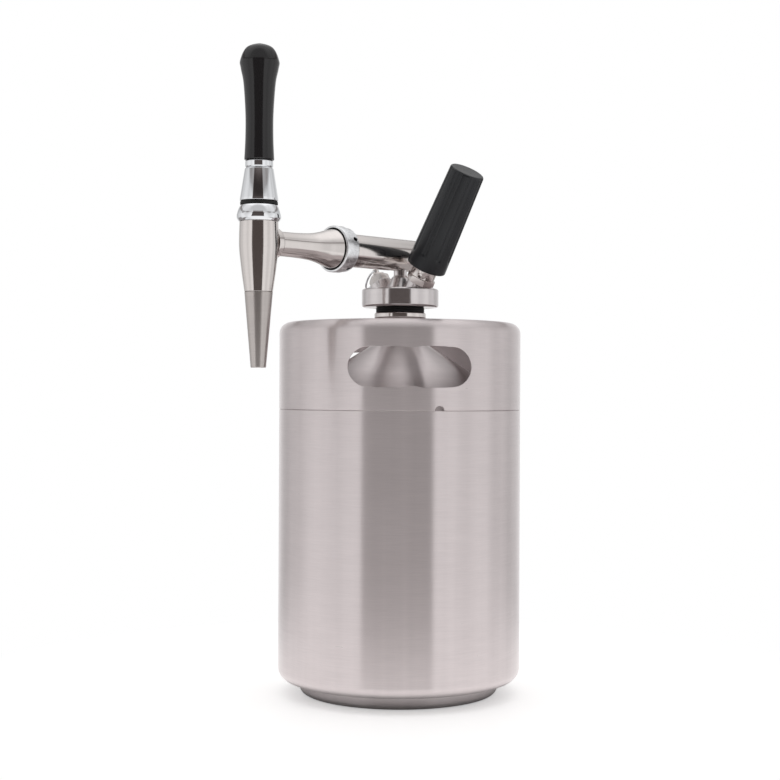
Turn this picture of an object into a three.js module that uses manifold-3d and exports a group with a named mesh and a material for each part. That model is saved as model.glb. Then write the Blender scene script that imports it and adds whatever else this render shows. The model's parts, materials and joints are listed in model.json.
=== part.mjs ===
// Mini keg with a screw-in stout tap and a gas cartridge holder.
// Millimetres, +Z up. The origin is on the surface it stands on, under the middle of the whole
// outline; the shapes are written around the keg's axis, which stands behind the origin.
// The tap pours towards -Y, the gas port leans towards +X and the relief valve towards -X.
import * as THREE from 'three';
import { mergeVertices } from 'three/addons/utils/BufferGeometryUtils.js';
import Module from 'manifold-3d';

const wasm = await Module();
wasm.setup();

// ---- driving dimensions ----

const FULL_TURN = 2 * Math.PI;
const WELD_GAP = 0.1; // left between sheets that are welded together
const THREAD_GAP = 0.2; // radial, between a male and a female thread
const DEGREE = Math.PI / 180;

const KEG_SEGMENTS = 40;
const TAP_SEGMENTS = 24;
const SMALL_SEGMENTS = 16;
const ARC_STEP = 45 * DEGREE;
const SMALL_FILLET = 2; // fillets below this radius are one chamfer

const KEG_RADIUS = 84;
const SHEET = 1.2;
const SEAM_HEIGHT = 196.4; // where the shell, the head and the skirt meet
const FLOOR_HEIGHT = 9.5; // flat outer part of the vessel's bottom
const SKIRT_TOP = 256.5;
const SKIRT_CORNER = 7.5;
const SKIRT_OPENING = 60;
const FOOT_RADIUS = 69.8;

const HAND_HOLE = { halfWidth: 40.3, halfHeight: 13, height: 225, azimuths: [-40, 140] };
const DRAIN_NOTCH = { radius: 3.2, azimuths: [-27, 153] };

const NECK_RADIUS = 16.5;
const NECK_BORE = 13.5;
const NECK_BOTTOM = 232;
const NECK_TOP = 263.9;

const SEAL_THICKNESS = 3.8;
const FLANGE_RADIUS = 26.8;
const FLANGE_BOTTOM = NECK_TOP + SEAL_THICKNESS;
const FLANGE_TOP = FLANGE_BOTTOM + 12.8;
const PLUG_RADIUS = NECK_BORE - 0.4;
const PLUG_BOTTOM = 246;
const PLUG_GROOVE = { bottom: PLUG_BOTTOM + 3, height: 2.4, depth: 1.8 };
const GAS_BORE = 8;
const DIP_TUBE_RADIUS = 4.8;
const DIP_TUBE_BOTTOM = 14;
const DIP_TUBE_TOP = 286;

const PORT_TILT = 31.5 * DEGREE; // both ports lean out from the keg's axis by this much
const PORT_CROSSING = 253.6; // height at which the port axes meet the keg's axis
const BOSS_RADIUS = 8.2;
const SPIGOT_RADIUS = 4.9; // the fittings' threaded ends
const SPIGOT_LENGTH = 8;
const GAS_DRILL_RADIUS = 1.6;
const RELIEF_CHAMBER = 3.9;
const PORT_SEAT = 36.6; // along the port axis: where the fitting sits on its boss
const RELIEF_SEAT = 37;
const PORT_THREAD = 8.3;
const PORT_THREAD_TOP = PORT_SEAT + 22;
const PIN_SEAT = PORT_SEAT + 8;
const CARTRIDGE_START = PORT_SEAT + 13;
const CARTRIDGE_END = CARTRIDGE_START + 65;
const CARTRIDGE_RADIUS = 9.2;

const SHANK_HEIGHT = 304.2;
const SHANK_RADIUS = 11.2;
const SHANK_BORE = 7.9;
const SHANK_END = 59.3; // all shank lengths are measured from the keg's axis
const NUT_RADIUS = 15.65;
const NUT_START = 52.9;
const NUT_END = 64.8;
const FAUCET_THREAD = 13.2;
const FAUCET_REAR = 61;
const FAUCET_SHOULDER = 65;
const VALVE_SEAT = 75;
const VALVE_ROD = 2.4;

const FAUCET_REACH = 128;
const NOZZLE_BOTTOM = 223.8;
const NOZZLE_TOP = 272.2;
const NOZZLE_BORE = 6.2;
const DISC_BOTTOM = NOZZLE_TOP - 5.1;
const BODY_TOP = 317;
const PIVOT_HEIGHT = 318.8;
const BALL_RADIUS = 7;
const BONNET_RADIUS = 14.6; // a sphere around the lever's pivot
const SLIDE_RADIUS = BONNET_RADIUS + 0.25; // the lever's parts that pass over the bonnet
const BONNET_TOP = 327.5;
const FERRULE_BOTTOM = 329.8;
const FERRULE_TOP = 351.2;
const HANDLE_BOTTOM = 356.3;
const HANDLE_TOP = 431.3;
const STUD_RADIUS = 3.2;
const STUD_BORE = STUD_RADIUS + THREAD_GAP;
const STUD_TOP = 370;

// ---- shapes ----

// Replaces a corner by the points of an arc that touches both of its sides.
function roundCorner(before, corner, after, radius) {
  const toBefore = before.clone().sub(corner).normalize();
  const toAfter = after.clone().sub(corner).normalize();
  const half = Math.acos(toBefore.dot(toAfter)) / 2;
  const middle = toBefore.clone().add(toAfter).normalize();
  const centre = corner.clone().addScaledVector(middle, radius / Math.sin(half));
  const start = corner.clone().addScaledVector(toBefore, radius / Math.tan(half));
  const end = corner.clone().addScaledVector(toAfter, radius / Math.tan(half));
  const side = Math.sign(start.clone().sub(centre).cross(end.clone().sub(centre)));
  const sweep = Math.PI - 2 * half;
  const steps = radius < SMALL_FILLET ? 1 : Math.max(1, Math.round(sweep / ARC_STEP));
  return Array.from({ length: steps + 1 }, (_, i) =>
    start.clone().rotateAround(centre, (side * sweep * i) / steps));
}

// Turns [x, y, fillet radius] corners into points; a corner without a radius stays sharp.
function outline(corners) {
  const points = corners.map(([x, y]) => new THREE.Vector2(x, y));
  const count = points.length;
  return points.flatMap((point, i) => {
    const radius = corners[i][2];
    if (!radius) return [point];
    return roundCorner(points[(i + count - 1) % count], point, points[(i + 1) % count], radius);
  });
}

// Points on an arc around (0, height) on the axis; angles are in degrees above horizontal.
function axisArc(height, radius, from, to, steps) {
  return Array.from({ length: steps + 1 }, (_, i) => {
    const angle = (from + ((to - from) * i) / steps) * DEGREE;
    return [radius * Math.cos(angle), height + radius * Math.sin(angle)];
  });
}

// Points on a smooth curve through a few control points.
function smooth(controls, steps) {
  const curve = new THREE.SplineCurve(controls.map(([x, y]) => new THREE.Vector2(x, y)));
  return curve.getPoints(steps).map(({ x, y }) => [x, y]);
}

// Turns an outline of [radius, height] corners about Z. It runs up the outside and down the
// inside, and either starts and ends on the axis or closes on itself.
function revolve(corners, segments) {
  const points = outline(corners);
  const touchesAxis = corners[0][0] === 0;
  if (!touchesAxis) points.push(points[0].clone());
  return new THREE.LatheGeometry(points, segments).rotateX(Math.PI / 2);
}

const rod = (radius, from, to, segments = SMALL_SEGMENTS) =>
  revolve([[0, from], [radius, from], [radius, to], [0, to]], segments);

const ring = (inner, outer, from, to, segments = TAP_SEGMENTS, edge = 0) =>
  revolve([[inner, from], [outer, from, edge], [outer, to, edge], [inner, to]], segments);

const torus = (radius, wire, height) =>
  new THREE.TorusGeometry(radius, wire, 6, TAP_SEGMENTS).translate(0, 0, height);

// A hexagonal bar between two heights, measured across its flats.
const hexBar = (acrossFlats, from, to) =>
  rod(acrossFlats / 2 / Math.cos(Math.PI / 6), from, to, 6);

// Lays a shape made along Z down along X.
const alongX = (geometry) => geometry.rotateY(Math.PI / 2);

// ---- joining and cutting ----

function toSolid(geometry) {
  const bare = geometry.clone();
  bare.deleteAttribute('normal');
  bare.deleteAttribute('uv');
  const merged = mergeVertices(bare);
  const corners = [];
  for (let i = 0; i < merged.index.count; i += 3) {
    const [a, b, c] = merged.index.array.slice(i, i + 3);
    if (a !== b && b !== c && c !== a) corners.push(a, b, c);
  }
  return new wasm.Manifold(new wasm.Mesh({
    numProp: 3,
    vertProperties: merged.attributes.position.array,
    triVerts: new Uint32Array(corners),
  }));
}

function toGeometry(solid) {
  const { vertProperties, triVerts } = solid.getMesh();
  const geometry = new THREE.BufferGeometry();
  geometry.setAttribute('position', new THREE.BufferAttribute(vertProperties, 3));
  geometry.setIndex(new THREE.BufferAttribute(triVerts, 1));
  return geometry;
}

const cut = (base, ...tools) =>
  toGeometry(tools.reduce((left, tool) => left.subtract(toSolid(tool)), toSolid(base)));

const join = (...parts) =>
  toGeometry(parts.map(toSolid).reduce((sum, part) => sum.add(part)));

// ---- finishes ----

const FINISHES = {
  brushedSteel: { color: 0xcdc5c5, roughness: 0.38, metalness: 1 },
  satinSteel: { color: 0xb9b0ac, roughness: 0.34, metalness: 1 },
  polishedSteel: { color: 0xd2cbc9, roughness: 0.18, metalness: 1 },
  chrome: { color: 0xe4e5e8, roughness: 0.06, metalness: 1 },
  satinChrome: { color: 0xd9dbde, roughness: 0.3, metalness: 1 },
  glossBlack: { color: 0x0c0c0d, roughness: 0.12, metalness: 0 },
  satinBlack: { color: 0x1d1e22, roughness: 0.42, metalness: 0 },
  rubber: { color: 0x0d0d0d, roughness: 0.7, metalness: 0 },
  whitePlastic: { color: 0xe8e6e0, roughness: 0.45, metalness: 0 },
  zincSteel: { color: 0xb9bcc0, roughness: 0.35, metalness: 1 },
};

function add(parent, name, geometry, finish) {
  const mesh = new THREE.Mesh(geometry, new THREE.MeshStandardMaterial(FINISHES[finish]));
  mesh.name = name;
  parent.add(mesh);
  return mesh;
}

// ---- keg ----

function vesselShell() {
  const dishRadius = 62;
  const dishDrop = 6;
  const dish = (lift) => Array.from({ length: 4 }, (_, i) => {
    const r = (dishRadius * i) / 3;
    return [r, FLOOR_HEIGHT + lift - dishDrop * (1 - (r / dishRadius) ** 2)];
  });
  const corner = 8;
  return revolve([
    ...dish(0),
    [KEG_RADIUS, FLOOR_HEIGHT, corner],
    [KEG_RADIUS, SEAM_HEIGHT],
    [KEG_RADIUS - SHEET, SEAM_HEIGHT],
    [KEG_RADIUS - SHEET, FLOOR_HEIGHT + SHEET, corner - SHEET],
    ...dish(SHEET).reverse(),
  ], KEG_SEGMENTS);
}

// The head is a shallow cone whose turned-down rim fits inside the shell.
function vesselHead() {
  const rim = KEG_RADIUS - SHEET - WELD_GAP;
  const rimBottom = SEAM_HEIGHT - 6;
  const hole = NECK_RADIUS + WELD_GAP;
  const top = 243.4;
  const knee = { radius: 46.7, height: 224.5, fillet: 60 };
  const drop = 1.4; // the sheet's thickness, measured upright on the slope
  return revolve([
    [rim, rimBottom],
    [rim, SEAM_HEIGHT, 1.5],
    [knee.radius, knee.height, knee.fillet],
    [hole, top],
    [hole, top - drop],
    [knee.radius, knee.height - drop, knee.fillet],
    [rim - SHEET, SEAM_HEIGHT - drop / 2],
    [rim - SHEET, rimBottom],
  ], KEG_SEGMENTS);
}

// A radial cutter at one height, pointing outwards at an azimuth in degrees.
function radialCutter(shape, height, azimuth) {
  const reach = 30;
  return new THREE.ExtrudeGeometry(shape, { depth: reach, bevelEnabled: false, curveSegments: 6 })
    .rotateX(Math.PI / 2)
    .translate(0, -KEG_RADIUS + reach / 2, height)
    .rotateZ((azimuth + 90) * DEGREE);
}

function roundSlot(halfWidth, halfHeight) {
  const straight = halfWidth - halfHeight;
  const shape = new THREE.Shape();
  shape.absarc(straight, 0, halfHeight, -Math.PI / 2, Math.PI / 2);
  shape.absarc(-straight, 0, halfHeight, Math.PI / 2, 1.5 * Math.PI);
  return shape;
}

function topSkirt() {
  const bottom = SEAM_HEIGHT + WELD_GAP;
  const lip = 7;
  const inside = KEG_RADIUS - SHEET;
  const wall = revolve([
    [KEG_RADIUS, bottom],
    [KEG_RADIUS, SKIRT_TOP, SKIRT_CORNER],
    [SKIRT_OPENING, SKIRT_TOP, 3],
    [SKIRT_OPENING, SKIRT_TOP - lip],
    [SKIRT_OPENING + SHEET, SKIRT_TOP - lip],
    [SKIRT_OPENING + SHEET, SKIRT_TOP - SHEET, 3 - SHEET],
    [inside, SKIRT_TOP - SHEET, SKIRT_CORNER - SHEET],
    [inside, bottom],
  ], KEG_SEGMENTS);
  const slot = roundSlot(HAND_HOLE.halfWidth, HAND_HOLE.halfHeight);
  const handHoles = HAND_HOLE.azimuths.map((azimuth) =>
    radialCutter(slot, HAND_HOLE.height, azimuth));
  const notch = new THREE.Shape().absarc(0, 0, DRAIN_NOTCH.radius, 0, FULL_TURN);
  const notches = DRAIN_NOTCH.azimuths.map((azimuth) => radialCutter(notch, bottom, azimuth));
  return cut(wall, ...handHoles, ...notches);
}

// A pressed channel, open upwards, whose flat web stands on the table.
function footRing() {
  const top = FLOOR_HEIGHT - WELD_GAP;
  const inner = 58;
  const innerTop = 5;
  const corner = 4.5;
  const webRadius = FOOT_RADIUS - 1.6; // the outer wall leans out a little
  return revolve([
    [inner, 0, 1.5],
    [webRadius, 0, corner],
    [FOOT_RADIUS, top],
    [FOOT_RADIUS - SHEET, top],
    [webRadius - SHEET, SHEET, corner - SHEET],
    [inner + SHEET, SHEET],
    [inner + SHEET, innerTop],
    [inner, innerTop],
  ], KEG_SEGMENTS);
}

function neckBush() {
  const lipRadius = NECK_RADIUS + 1.5;
  return revolve([
    [NECK_RADIUS, NECK_BOTTOM],
    [NECK_RADIUS, NECK_TOP - 4.5],
    [lipRadius, NECK_TOP - 3],
    [lipRadius, NECK_TOP, 0.8],
    [NECK_BORE, NECK_TOP],
    [NECK_BORE, NECK_BOTTOM],
  ], TAP_SEGMENTS);
}

function buildKeg(group) {
  add(group, 'vessel_shell', vesselShell(), 'brushedSteel');
  add(group, 'vessel_head', vesselHead(), 'brushedSteel');
  add(group, 'top_skirt', topSkirt(), 'brushedSteel');
  add(group, 'foot_ring', footRing(), 'brushedSteel');
  add(group, 'neck_bush', neckBush(), 'polishedSteel');
}

// ---- tap base ----

const portFrame = (geometry, tilt) => geometry.rotateY(tilt).translate(0, 0, PORT_CROSSING);

function tapBase() {
  const socket = { radius: DIP_TUBE_RADIUS + THREAD_GAP, top: DIP_TUBE_TOP + 2 };
  const cone = { bottomRadius: 10.2, topRadius: 6.3, top: FLANGE_TOP + 7.7 };
  const stem = { radius: 4.6, bore: 3.4, top: SHANK_HEIGHT - 7 };
  const gasBoreTop = FLANGE_BOTTOM + 2;
  const flangeEdge = 1.2;
  const body = revolve([
    [PLUG_RADIUS, PLUG_BOTTOM],
    [PLUG_RADIUS, PLUG_GROOVE.bottom],
    [PLUG_RADIUS - PLUG_GROOVE.depth, PLUG_GROOVE.bottom],
    [PLUG_RADIUS - PLUG_GROOVE.depth, PLUG_GROOVE.bottom + PLUG_GROOVE.height],
    [PLUG_RADIUS, PLUG_GROOVE.bottom + PLUG_GROOVE.height],
    [PLUG_RADIUS, FLANGE_BOTTOM],
    [FLANGE_RADIUS, FLANGE_BOTTOM, flangeEdge],
    [FLANGE_RADIUS, FLANGE_TOP, flangeEdge],
    [cone.bottomRadius, FLANGE_TOP],
    [cone.topRadius, cone.top],
    [stem.radius, cone.top + 1.6],
    [stem.radius, stem.top],
    [stem.bore, stem.top],
    [stem.bore, socket.top],
    [socket.radius, socket.top],
    [socket.radius, gasBoreTop],
    [GAS_BORE, gasBoreTop],
    [GAS_BORE, PLUG_BOTTOM],
  ], TAP_SEGMENTS);
  const buried = 25; // the bosses start inside the flange
  const spigotSocket = { radius: SPIGOT_RADIUS + THREAD_GAP, depth: SPIGOT_LENGTH + 0.5 };
  const gasDrill = { radius: GAS_DRILL_RADIUS, start: 13 };
  const ports = [[PORT_TILT, PORT_SEAT], [-PORT_TILT, RELIEF_SEAT]];
  const bosses = ports.map(([tilt, seat]) =>
    portFrame(rod(BOSS_RADIUS, buried, seat - WELD_GAP, TAP_SEGMENTS), tilt));
  const drillings = ports.flatMap(([tilt, seat]) => [
    portFrame(rod(spigotSocket.radius, seat - spigotSocket.depth, seat + 1), tilt),
    portFrame(rod(gasDrill.radius, gasDrill.start, seat, 12), tilt),
  ]);
  const shank = rod(SHANK_RADIUS + WELD_GAP, -FLANGE_RADIUS, FLANGE_RADIUS, TAP_SEGMENTS)
    .rotateX(Math.PI / 2).translate(0, 0, SHANK_HEIGHT);
  return cut(join(body, ...bosses), ...drillings, shank);
}

// The O-ring lies in the middle of its groove and stands out of it a little.
function plugSeal() {
  const wire = 0.9;
  const middle = PLUG_GROOVE.bottom + PLUG_GROOVE.height / 2;
  return torus(PLUG_RADIUS - wire + 0.15, wire, middle);
}

const neckSeal = () =>
  ring(NECK_BORE + 0.1, NECK_RADIUS + 0.4, NECK_TOP + WELD_GAP, FLANGE_BOTTOM - WELD_GAP,
    TAP_SEGMENTS, 0.5);

const dipTube = () =>
  ring(DIP_TUBE_RADIUS - 0.9, DIP_TUBE_RADIUS, DIP_TUBE_BOTTOM, DIP_TUBE_TOP, SMALL_SEGMENTS);

// ---- shank, its nut and the seal in front of it ----
// In these frames Z runs along the shank, away from the keg's axis.

function shankTube() {
  const rear = -14;
  const groove = { start: 56.3, end: 57.9, radius: 10.4 };
  const tube = revolve([
    [0, rear],
    [SHANK_RADIUS, rear, 2.5],
    [SHANK_RADIUS, groove.start],
    [groove.radius, groove.start],
    [groove.radius, groove.end],
    [SHANK_RADIUS, groove.end],
    [SHANK_RADIUS, SHANK_END],
    [SHANK_BORE, SHANK_END],
    [SHANK_BORE, rear + 3],
    [0, rear + 3],
  ], TAP_SEGMENTS);
  const inlet = rod(3.4, 0, 15).rotateX(Math.PI / 2);
  return cut(tube, inlet);
}

function retainingRing() {
  const gap = new THREE.BoxGeometry(3, 6, 6).translate(0, 11.5, 57.1);
  return cut(ring(10.5, 12.9, 56.4, 57.8), gap);
}

function couplingNut() {
  const lip = SHANK_RADIUS + 0.3;
  const threadBore = FAUCET_THREAD + THREAD_GAP;
  const lipEnd = NUT_START + 3;
  const spannerEnd = { radius: NUT_RADIUS - 0.8, end: NUT_START + 5.2 };
  const body = revolve([
    [lip, NUT_START],
    [spannerEnd.radius, NUT_START, 0.8],
    [spannerEnd.radius, spannerEnd.end],
    [NUT_RADIUS, spannerEnd.end],
    [NUT_RADIUS, NUT_END, 0.8],
    [threadBore, NUT_END],
    [threadBore, lipEnd],
    [lip, lipEnd],
  ], TAP_SEGMENTS);
  const holes = { count: 4, radius: 1.6, first: 25 * DEGREE, at: NUT_START + 2.7 };
  const cutters = Array.from({ length: holes.count }, (_, i) =>
    alongX(rod(holes.radius, NUT_RADIUS - 2.6, NUT_RADIUS + 2, 12))
      .rotateZ(holes.first + (FULL_TURN * i) / holes.count)
      .translate(0, 0, holes.at));
  return cut(body, ...cutters);
}

const shankWasher = () => ring(SHANK_BORE, 12.6, SHANK_END + WELD_GAP, FAUCET_REAR - WELD_GAP);

// ---- faucet ----
// In this frame the origin is under the faucet's upright axis.

const alongShank = (geometry) => geometry.rotateX(-Math.PI / 2).translate(0, 0, SHANK_HEIGHT);

function faucetBody() {
  const neck = { radius: 10.6, top: PIVOT_HEIGHT + 2.3 };
  const chamber = { radius: 9, bottom: SHANK_HEIGHT - 7.2, top: PIVOT_HEIGHT - 9.2 };
  const ballSeat = { radius: 7.2, height: PIVOT_HEIGHT - 7.2 };
  const recess = { radius: 9.6, floor: PIVOT_HEIGHT - 5.4 };
  const outlet = NOZZLE_BORE + 0.4;
  const socket = { radius: 7.7, bottom: NOZZLE_TOP + WELD_GAP, top: NOZZLE_TOP + 7.4 };
  const beyond = 1; // cutters reach past the surface by this much
  const upright = revolve([
    [0, socket.bottom],
    ...smooth([[9.15, socket.bottom], [11, 285.4], [12.5, 298.6], [12.7, 306.4],
      [12.45, BODY_TOP]], 6),
    [neck.radius, BODY_TOP],
    [neck.radius, neck.top],
    [0, neck.top],
  ], TAP_SEGMENTS);
  const inside = revolve([
    [0, socket.bottom - beyond],
    [socket.radius, socket.bottom - beyond],
    [socket.radius, socket.top],
    [outlet, socket.top],
    [outlet, chamber.bottom - 4],
    [chamber.radius, chamber.bottom],
    [chamber.radius, chamber.top],
    [ballSeat.radius, ballSeat.height],
    [recess.radius, recess.floor],
    [recess.radius, neck.top + beyond],
    [0, neck.top + beyond],
  ], TAP_SEGMENTS);
  // Distances on the arm run from the upright axis back towards the keg.
  const shoulder = FAUCET_REACH - FAUCET_SHOULDER;
  const rear = FAUCET_REACH - FAUCET_REAR;
  const root = { radius: 9.9, start: chamber.radius + 0.5, end: 13.6 };
  const arm = alongShank(revolve([
    [0, root.start],
    [root.radius, root.start],
    [root.radius, root.end, 1],
    ...smooth([[8, 15], [8.15, 30], [8.9, 43], [10.3, 51], [11.9, 57], [13.4, shoulder]], 7),
    [FAUCET_THREAD, shoulder],
    [FAUCET_THREAD, rear],
    [0, rear],
  ], TAP_SEGMENTS));
  const passage = { radius: 6, front: -6.5 };
  const valveRoom = { radius: 8.8, front: FAUCET_REACH - VALVE_SEAT };
  const bore = alongShank(revolve([
    [0, passage.front],
    [passage.radius, passage.front],
    [passage.radius, valveRoom.front],
    [valveRoom.radius, valveRoom.front],
    [valveRoom.radius, rear + beyond],
    [0, rear + beyond],
  ], SMALL_SEGMENTS));
  return cut(join(upright, arm), bore, inside);
}

function nozzle() {
  const tip = { radius: 4.9, wall: 1.2 };
  const shank = { radius: 7.5, top: NOZZLE_TOP + 7.1 };
  const ledge = DISC_BOTTOM - 0.2; // the restrictor disc lies on it
  return revolve([
    [tip.radius - tip.wall, NOZZLE_BOTTOM],
    [tip.radius, NOZZLE_BOTTOM, 0.4],
    [9.1, NOZZLE_TOP],
    [shank.radius, NOZZLE_TOP],
    [shank.radius, shank.top],
    [NOZZLE_BORE, shank.top],
    [NOZZLE_BORE, ledge],
    [5.4, ledge],
  ], TAP_SEGMENTS);
}

function restrictorDisc() {
  const holes = { count: 5, radius: 0.5, circle: 2.5 };
  const top = DISC_BOTTOM + 1.5;
  const cutters = Array.from({ length: holes.count }, (_, i) =>
    rod(holes.radius, DISC_BOTTOM - 1, top + 1, 8)
      .translate(holes.circle, 0, 0)
      .rotateZ((FULL_TURN * i) / holes.count));
  return cut(rod(NOZZLE_BORE - 0.2, DISC_BOTTOM, top), ...cutters);
}

function flowStraightener() {
  const bottom = 247;
  const top = DISC_BOTTOM - 0.4;
  const bore = 3.4;
  return revolve([[bore, bottom], [4.3, bottom], [5, top], [bore, top]], SMALL_SEGMENTS);
}

// A bulging cap with six round spanner flats. Its upper part is a sphere around the lever's
// pivot, so that the lever's ring slides on it.
function bonnet() {
  const domeStart = 9;
  const topAngle = Math.asin((BONNET_TOP - PIVOT_HEIGHT) / BONNET_RADIUS) / DEGREE;
  const bottom = BODY_TOP + WELD_GAP;
  const bore = 10.8;
  const ledge = PIVOT_HEIGHT + 5.8;
  const cap = revolve([
    [bore, bottom],
    [13, bottom],
    ...axisArc(PIVOT_HEIGHT, BONNET_RADIUS, domeStart, topAngle, 4),
    [9.4, BONNET_TOP],
    [7.6, ledge],
    [bore, ledge],
  ], TAP_SEGMENTS);
  const flats = { count: 6, first: -11.5 * DEGREE, tilt: 16 * DEGREE, depth: 0.55, cutter: 8 };
  const cutters = Array.from({ length: flats.count }, (_, i) =>
    alongX(rod(flats.cutter, BONNET_RADIUS - flats.depth, BONNET_RADIUS + 1))
      .rotateY(-flats.tilt)
      .rotateZ(flats.first + (FULL_TURN * i) / flats.count)
      .translate(0, 0, PIVOT_HEIGHT));
  return cut(cap, ...cutters);
}

function frictionWasher() {
  const bottom = PIVOT_HEIGHT + 2.45;
  const top = PIVOT_HEIGHT + 5.6;
  const outer = 10.4;
  return revolve([[6.95, bottom], [outer, bottom], [outer, top], [7.4, top]], TAP_SEGMENTS);
}

const ballSeal = () => torus(7.85, 1.25, PIVOT_HEIGHT - 3.7);

// ---- lever ----

function leverRod() {
  const tip = { height: SHANK_HEIGHT, radius: 2.4 };
  const finger = 2;
  const angleAt = (radius, sphere) => Math.acos(radius / sphere) / DEGREE;
  return revolve([
    [0, tip.height - tip.radius],
    ...axisArc(tip.height, tip.radius, -60, angleAt(finger, tip.radius), 3),
    ...axisArc(PIVOT_HEIGHT, BALL_RADIUS, -angleAt(finger, BALL_RADIUS),
      angleAt(STUD_RADIUS, BALL_RADIUS), 7),
    [STUD_RADIUS, STUD_TOP],
    [0, STUD_TOP],
  ], SMALL_SEGMENTS);
}

// How far above horizontal the lever's sliding sphere reaches a height, in degrees.
const slideAngleAt = (height) => Math.asin((height - PIVOT_HEIGHT) / SLIDE_RADIUS) / DEGREE;

function ferruleRing() {
  const bottom = BONNET_TOP + 0.3;
  const top = FERRULE_BOTTOM - 0.05;
  const outer = 12.05;
  const inside = axisArc(PIVOT_HEIGHT, SLIDE_RADIUS, slideAngleAt(top), slideAngleAt(bottom), 2);
  return revolve([[outer, bottom], [outer, top], ...inside], TAP_SEGMENTS);
}

// Its underside is hollowed to a sphere around the pivot, which clears the bonnet.
function ferrule() {
  const boreAngle = Math.acos(STUD_BORE / SLIDE_RADIUS) / DEGREE;
  return revolve([
    ...axisArc(PIVOT_HEIGHT, SLIDE_RADIUS, boreAngle, slideAngleAt(FERRULE_BOTTOM), 5),
    [12.45, FERRULE_BOTTOM, 0.5],
    [9.2, FERRULE_TOP, 0.5],
    [STUD_BORE, FERRULE_TOP],
  ], TAP_SEGMENTS);
}

const handleRing = () =>
  ring(STUD_BORE, 8.95, FERRULE_TOP + WELD_GAP, HANDLE_BOTTOM - WELD_GAP, SMALL_SEGMENTS, 0.6);

function handle() {
  const socketTop = STUD_TOP + 2;
  return revolve([
    [0, socketTop],
    [STUD_BORE, socketTop],
    [STUD_BORE, HANDLE_BOTTOM],
    ...smooth([[9.6, HANDLE_BOTTOM], [9, 370], [9, 386], [10.3, 405.4], [12.1, 414.8],
      [12.5, 420], [8.6, 428], [0, HANDLE_TOP]], 12),
  ], SMALL_SEGMENTS);
}

// ---- pouring valve ----
// In this frame Z runs along the shank, away from the keg's axis.

function valveShaft() {
  const block = { radius: 5.6, start: FAUCET_REACH - 7.5, end: FAUCET_REACH + 6 };
  const rear = VALVE_SEAT - 5.4;
  const shaft = revolve([
    [0, rear],
    [VALVE_ROD, rear],
    [VALVE_ROD, block.start],
    [block.radius, block.start, 0.6],
    [block.radius, block.end, 0.6],
    [0, block.end],
  ], SMALL_SEGMENTS);
  const pocket = new THREE.BoxGeometry(5.6, 10, 7.6).translate(0, 1.8, FAUCET_REACH + 1);
  return cut(shaft, pocket);
}

const valveWasher = () =>
  ring(VALVE_ROD + THREAD_GAP, 7.4, VALVE_SEAT - 2.6, VALVE_SEAT - WELD_GAP, SMALL_SEGMENTS);

function valveNut() {
  const start = VALVE_SEAT - 5.2;
  const end = VALVE_SEAT - 2.7;
  return cut(hexBar(7, start, end), rod(VALVE_ROD + THREAD_GAP, start - 1, end + 1));
}

// ---- gas port ----
// In this frame Z runs along the port's axis.

function portFitting() {
  const hexTop = PORT_SEAT + 4.4;
  const collar = { radius: 8.8, start: PORT_SEAT + 0.1, end: PORT_SEAT + 11 };
  const hexagon = hexBar(17.4, PORT_SEAT, hexTop);
  const turned = revolve([
    [0, PORT_SEAT - SPIGOT_LENGTH],
    [SPIGOT_RADIUS, PORT_SEAT - SPIGOT_LENGTH],
    [SPIGOT_RADIUS, collar.start],
    [collar.radius, collar.start],
    [collar.radius, collar.end, 0.8],
    [PORT_THREAD, collar.end],
    [PORT_THREAD, PORT_THREAD_TOP, 0.8],
    [0, PORT_THREAD_TOP],
  ], TAP_SEGMENTS);
  const socket = rod(4.8, PIN_SEAT - 0.2, PORT_THREAD_TOP + 1);
  const gasWay = rod(GAS_DRILL_RADIUS, PORT_SEAT - SPIGOT_LENGTH - 1, PIN_SEAT, 12);
  const vent = alongX(rod(1.5, collar.radius - 1.8, collar.radius + 1.2, 12))
    .rotateZ(-60 * DEGREE)
    .translate(0, 0, hexTop + 2.4);
  return cut(join(hexagon, turned), socket, gasWay, vent);
}

function piercingPin() {
  const base = { radius: 4.6, top: PIN_SEAT + 2 };
  const point = { radius: 0.8, start: PIN_SEAT + 5.4, end: PIN_SEAT + 6.4 };
  const pin = revolve([
    [0, PIN_SEAT],
    [base.radius, PIN_SEAT],
    [base.radius, base.top],
    [point.radius, base.top],
    [point.radius, point.start],
    [0, point.end],
  ], SMALL_SEGMENTS);
  const gasHole = rod(0.8, PIN_SEAT - 1, base.top + 1, 8).translate(2.4, 0, 0);
  return cut(pin, gasHole);
}

const pinGasket = () =>
  ring(1.5, 4.6, PIN_SEAT + 2.2, CARTRIDGE_START - 0.3, SMALL_SEGMENTS);

function gasCartridge() {
  const neck = 4.2;
  const wall = 1.2;
  const pierced = 1.1;
  const shoulder = CARTRIDGE_START + 9.5;
  const inside = CARTRIDGE_RADIUS - wall;
  return revolve([
    [0, CARTRIDGE_END - wall],
    [inside, CARTRIDGE_END - wall, 4],
    [inside, shoulder + 6.5, 3],
    [neck - wall, shoulder],
    [neck - wall, CARTRIDGE_START + wall],
    [pierced, CARTRIDGE_START + wall],
    [pierced, CARTRIDGE_START],
    [neck, CARTRIDGE_START],
    [neck, shoulder],
    [CARTRIDGE_RADIUS, shoulder + 5.5, 4],
    [CARTRIDGE_RADIUS, CARTRIDGE_END, 5],
    [0, CARTRIDGE_END],
  ], SMALL_SEGMENTS);
}

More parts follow.
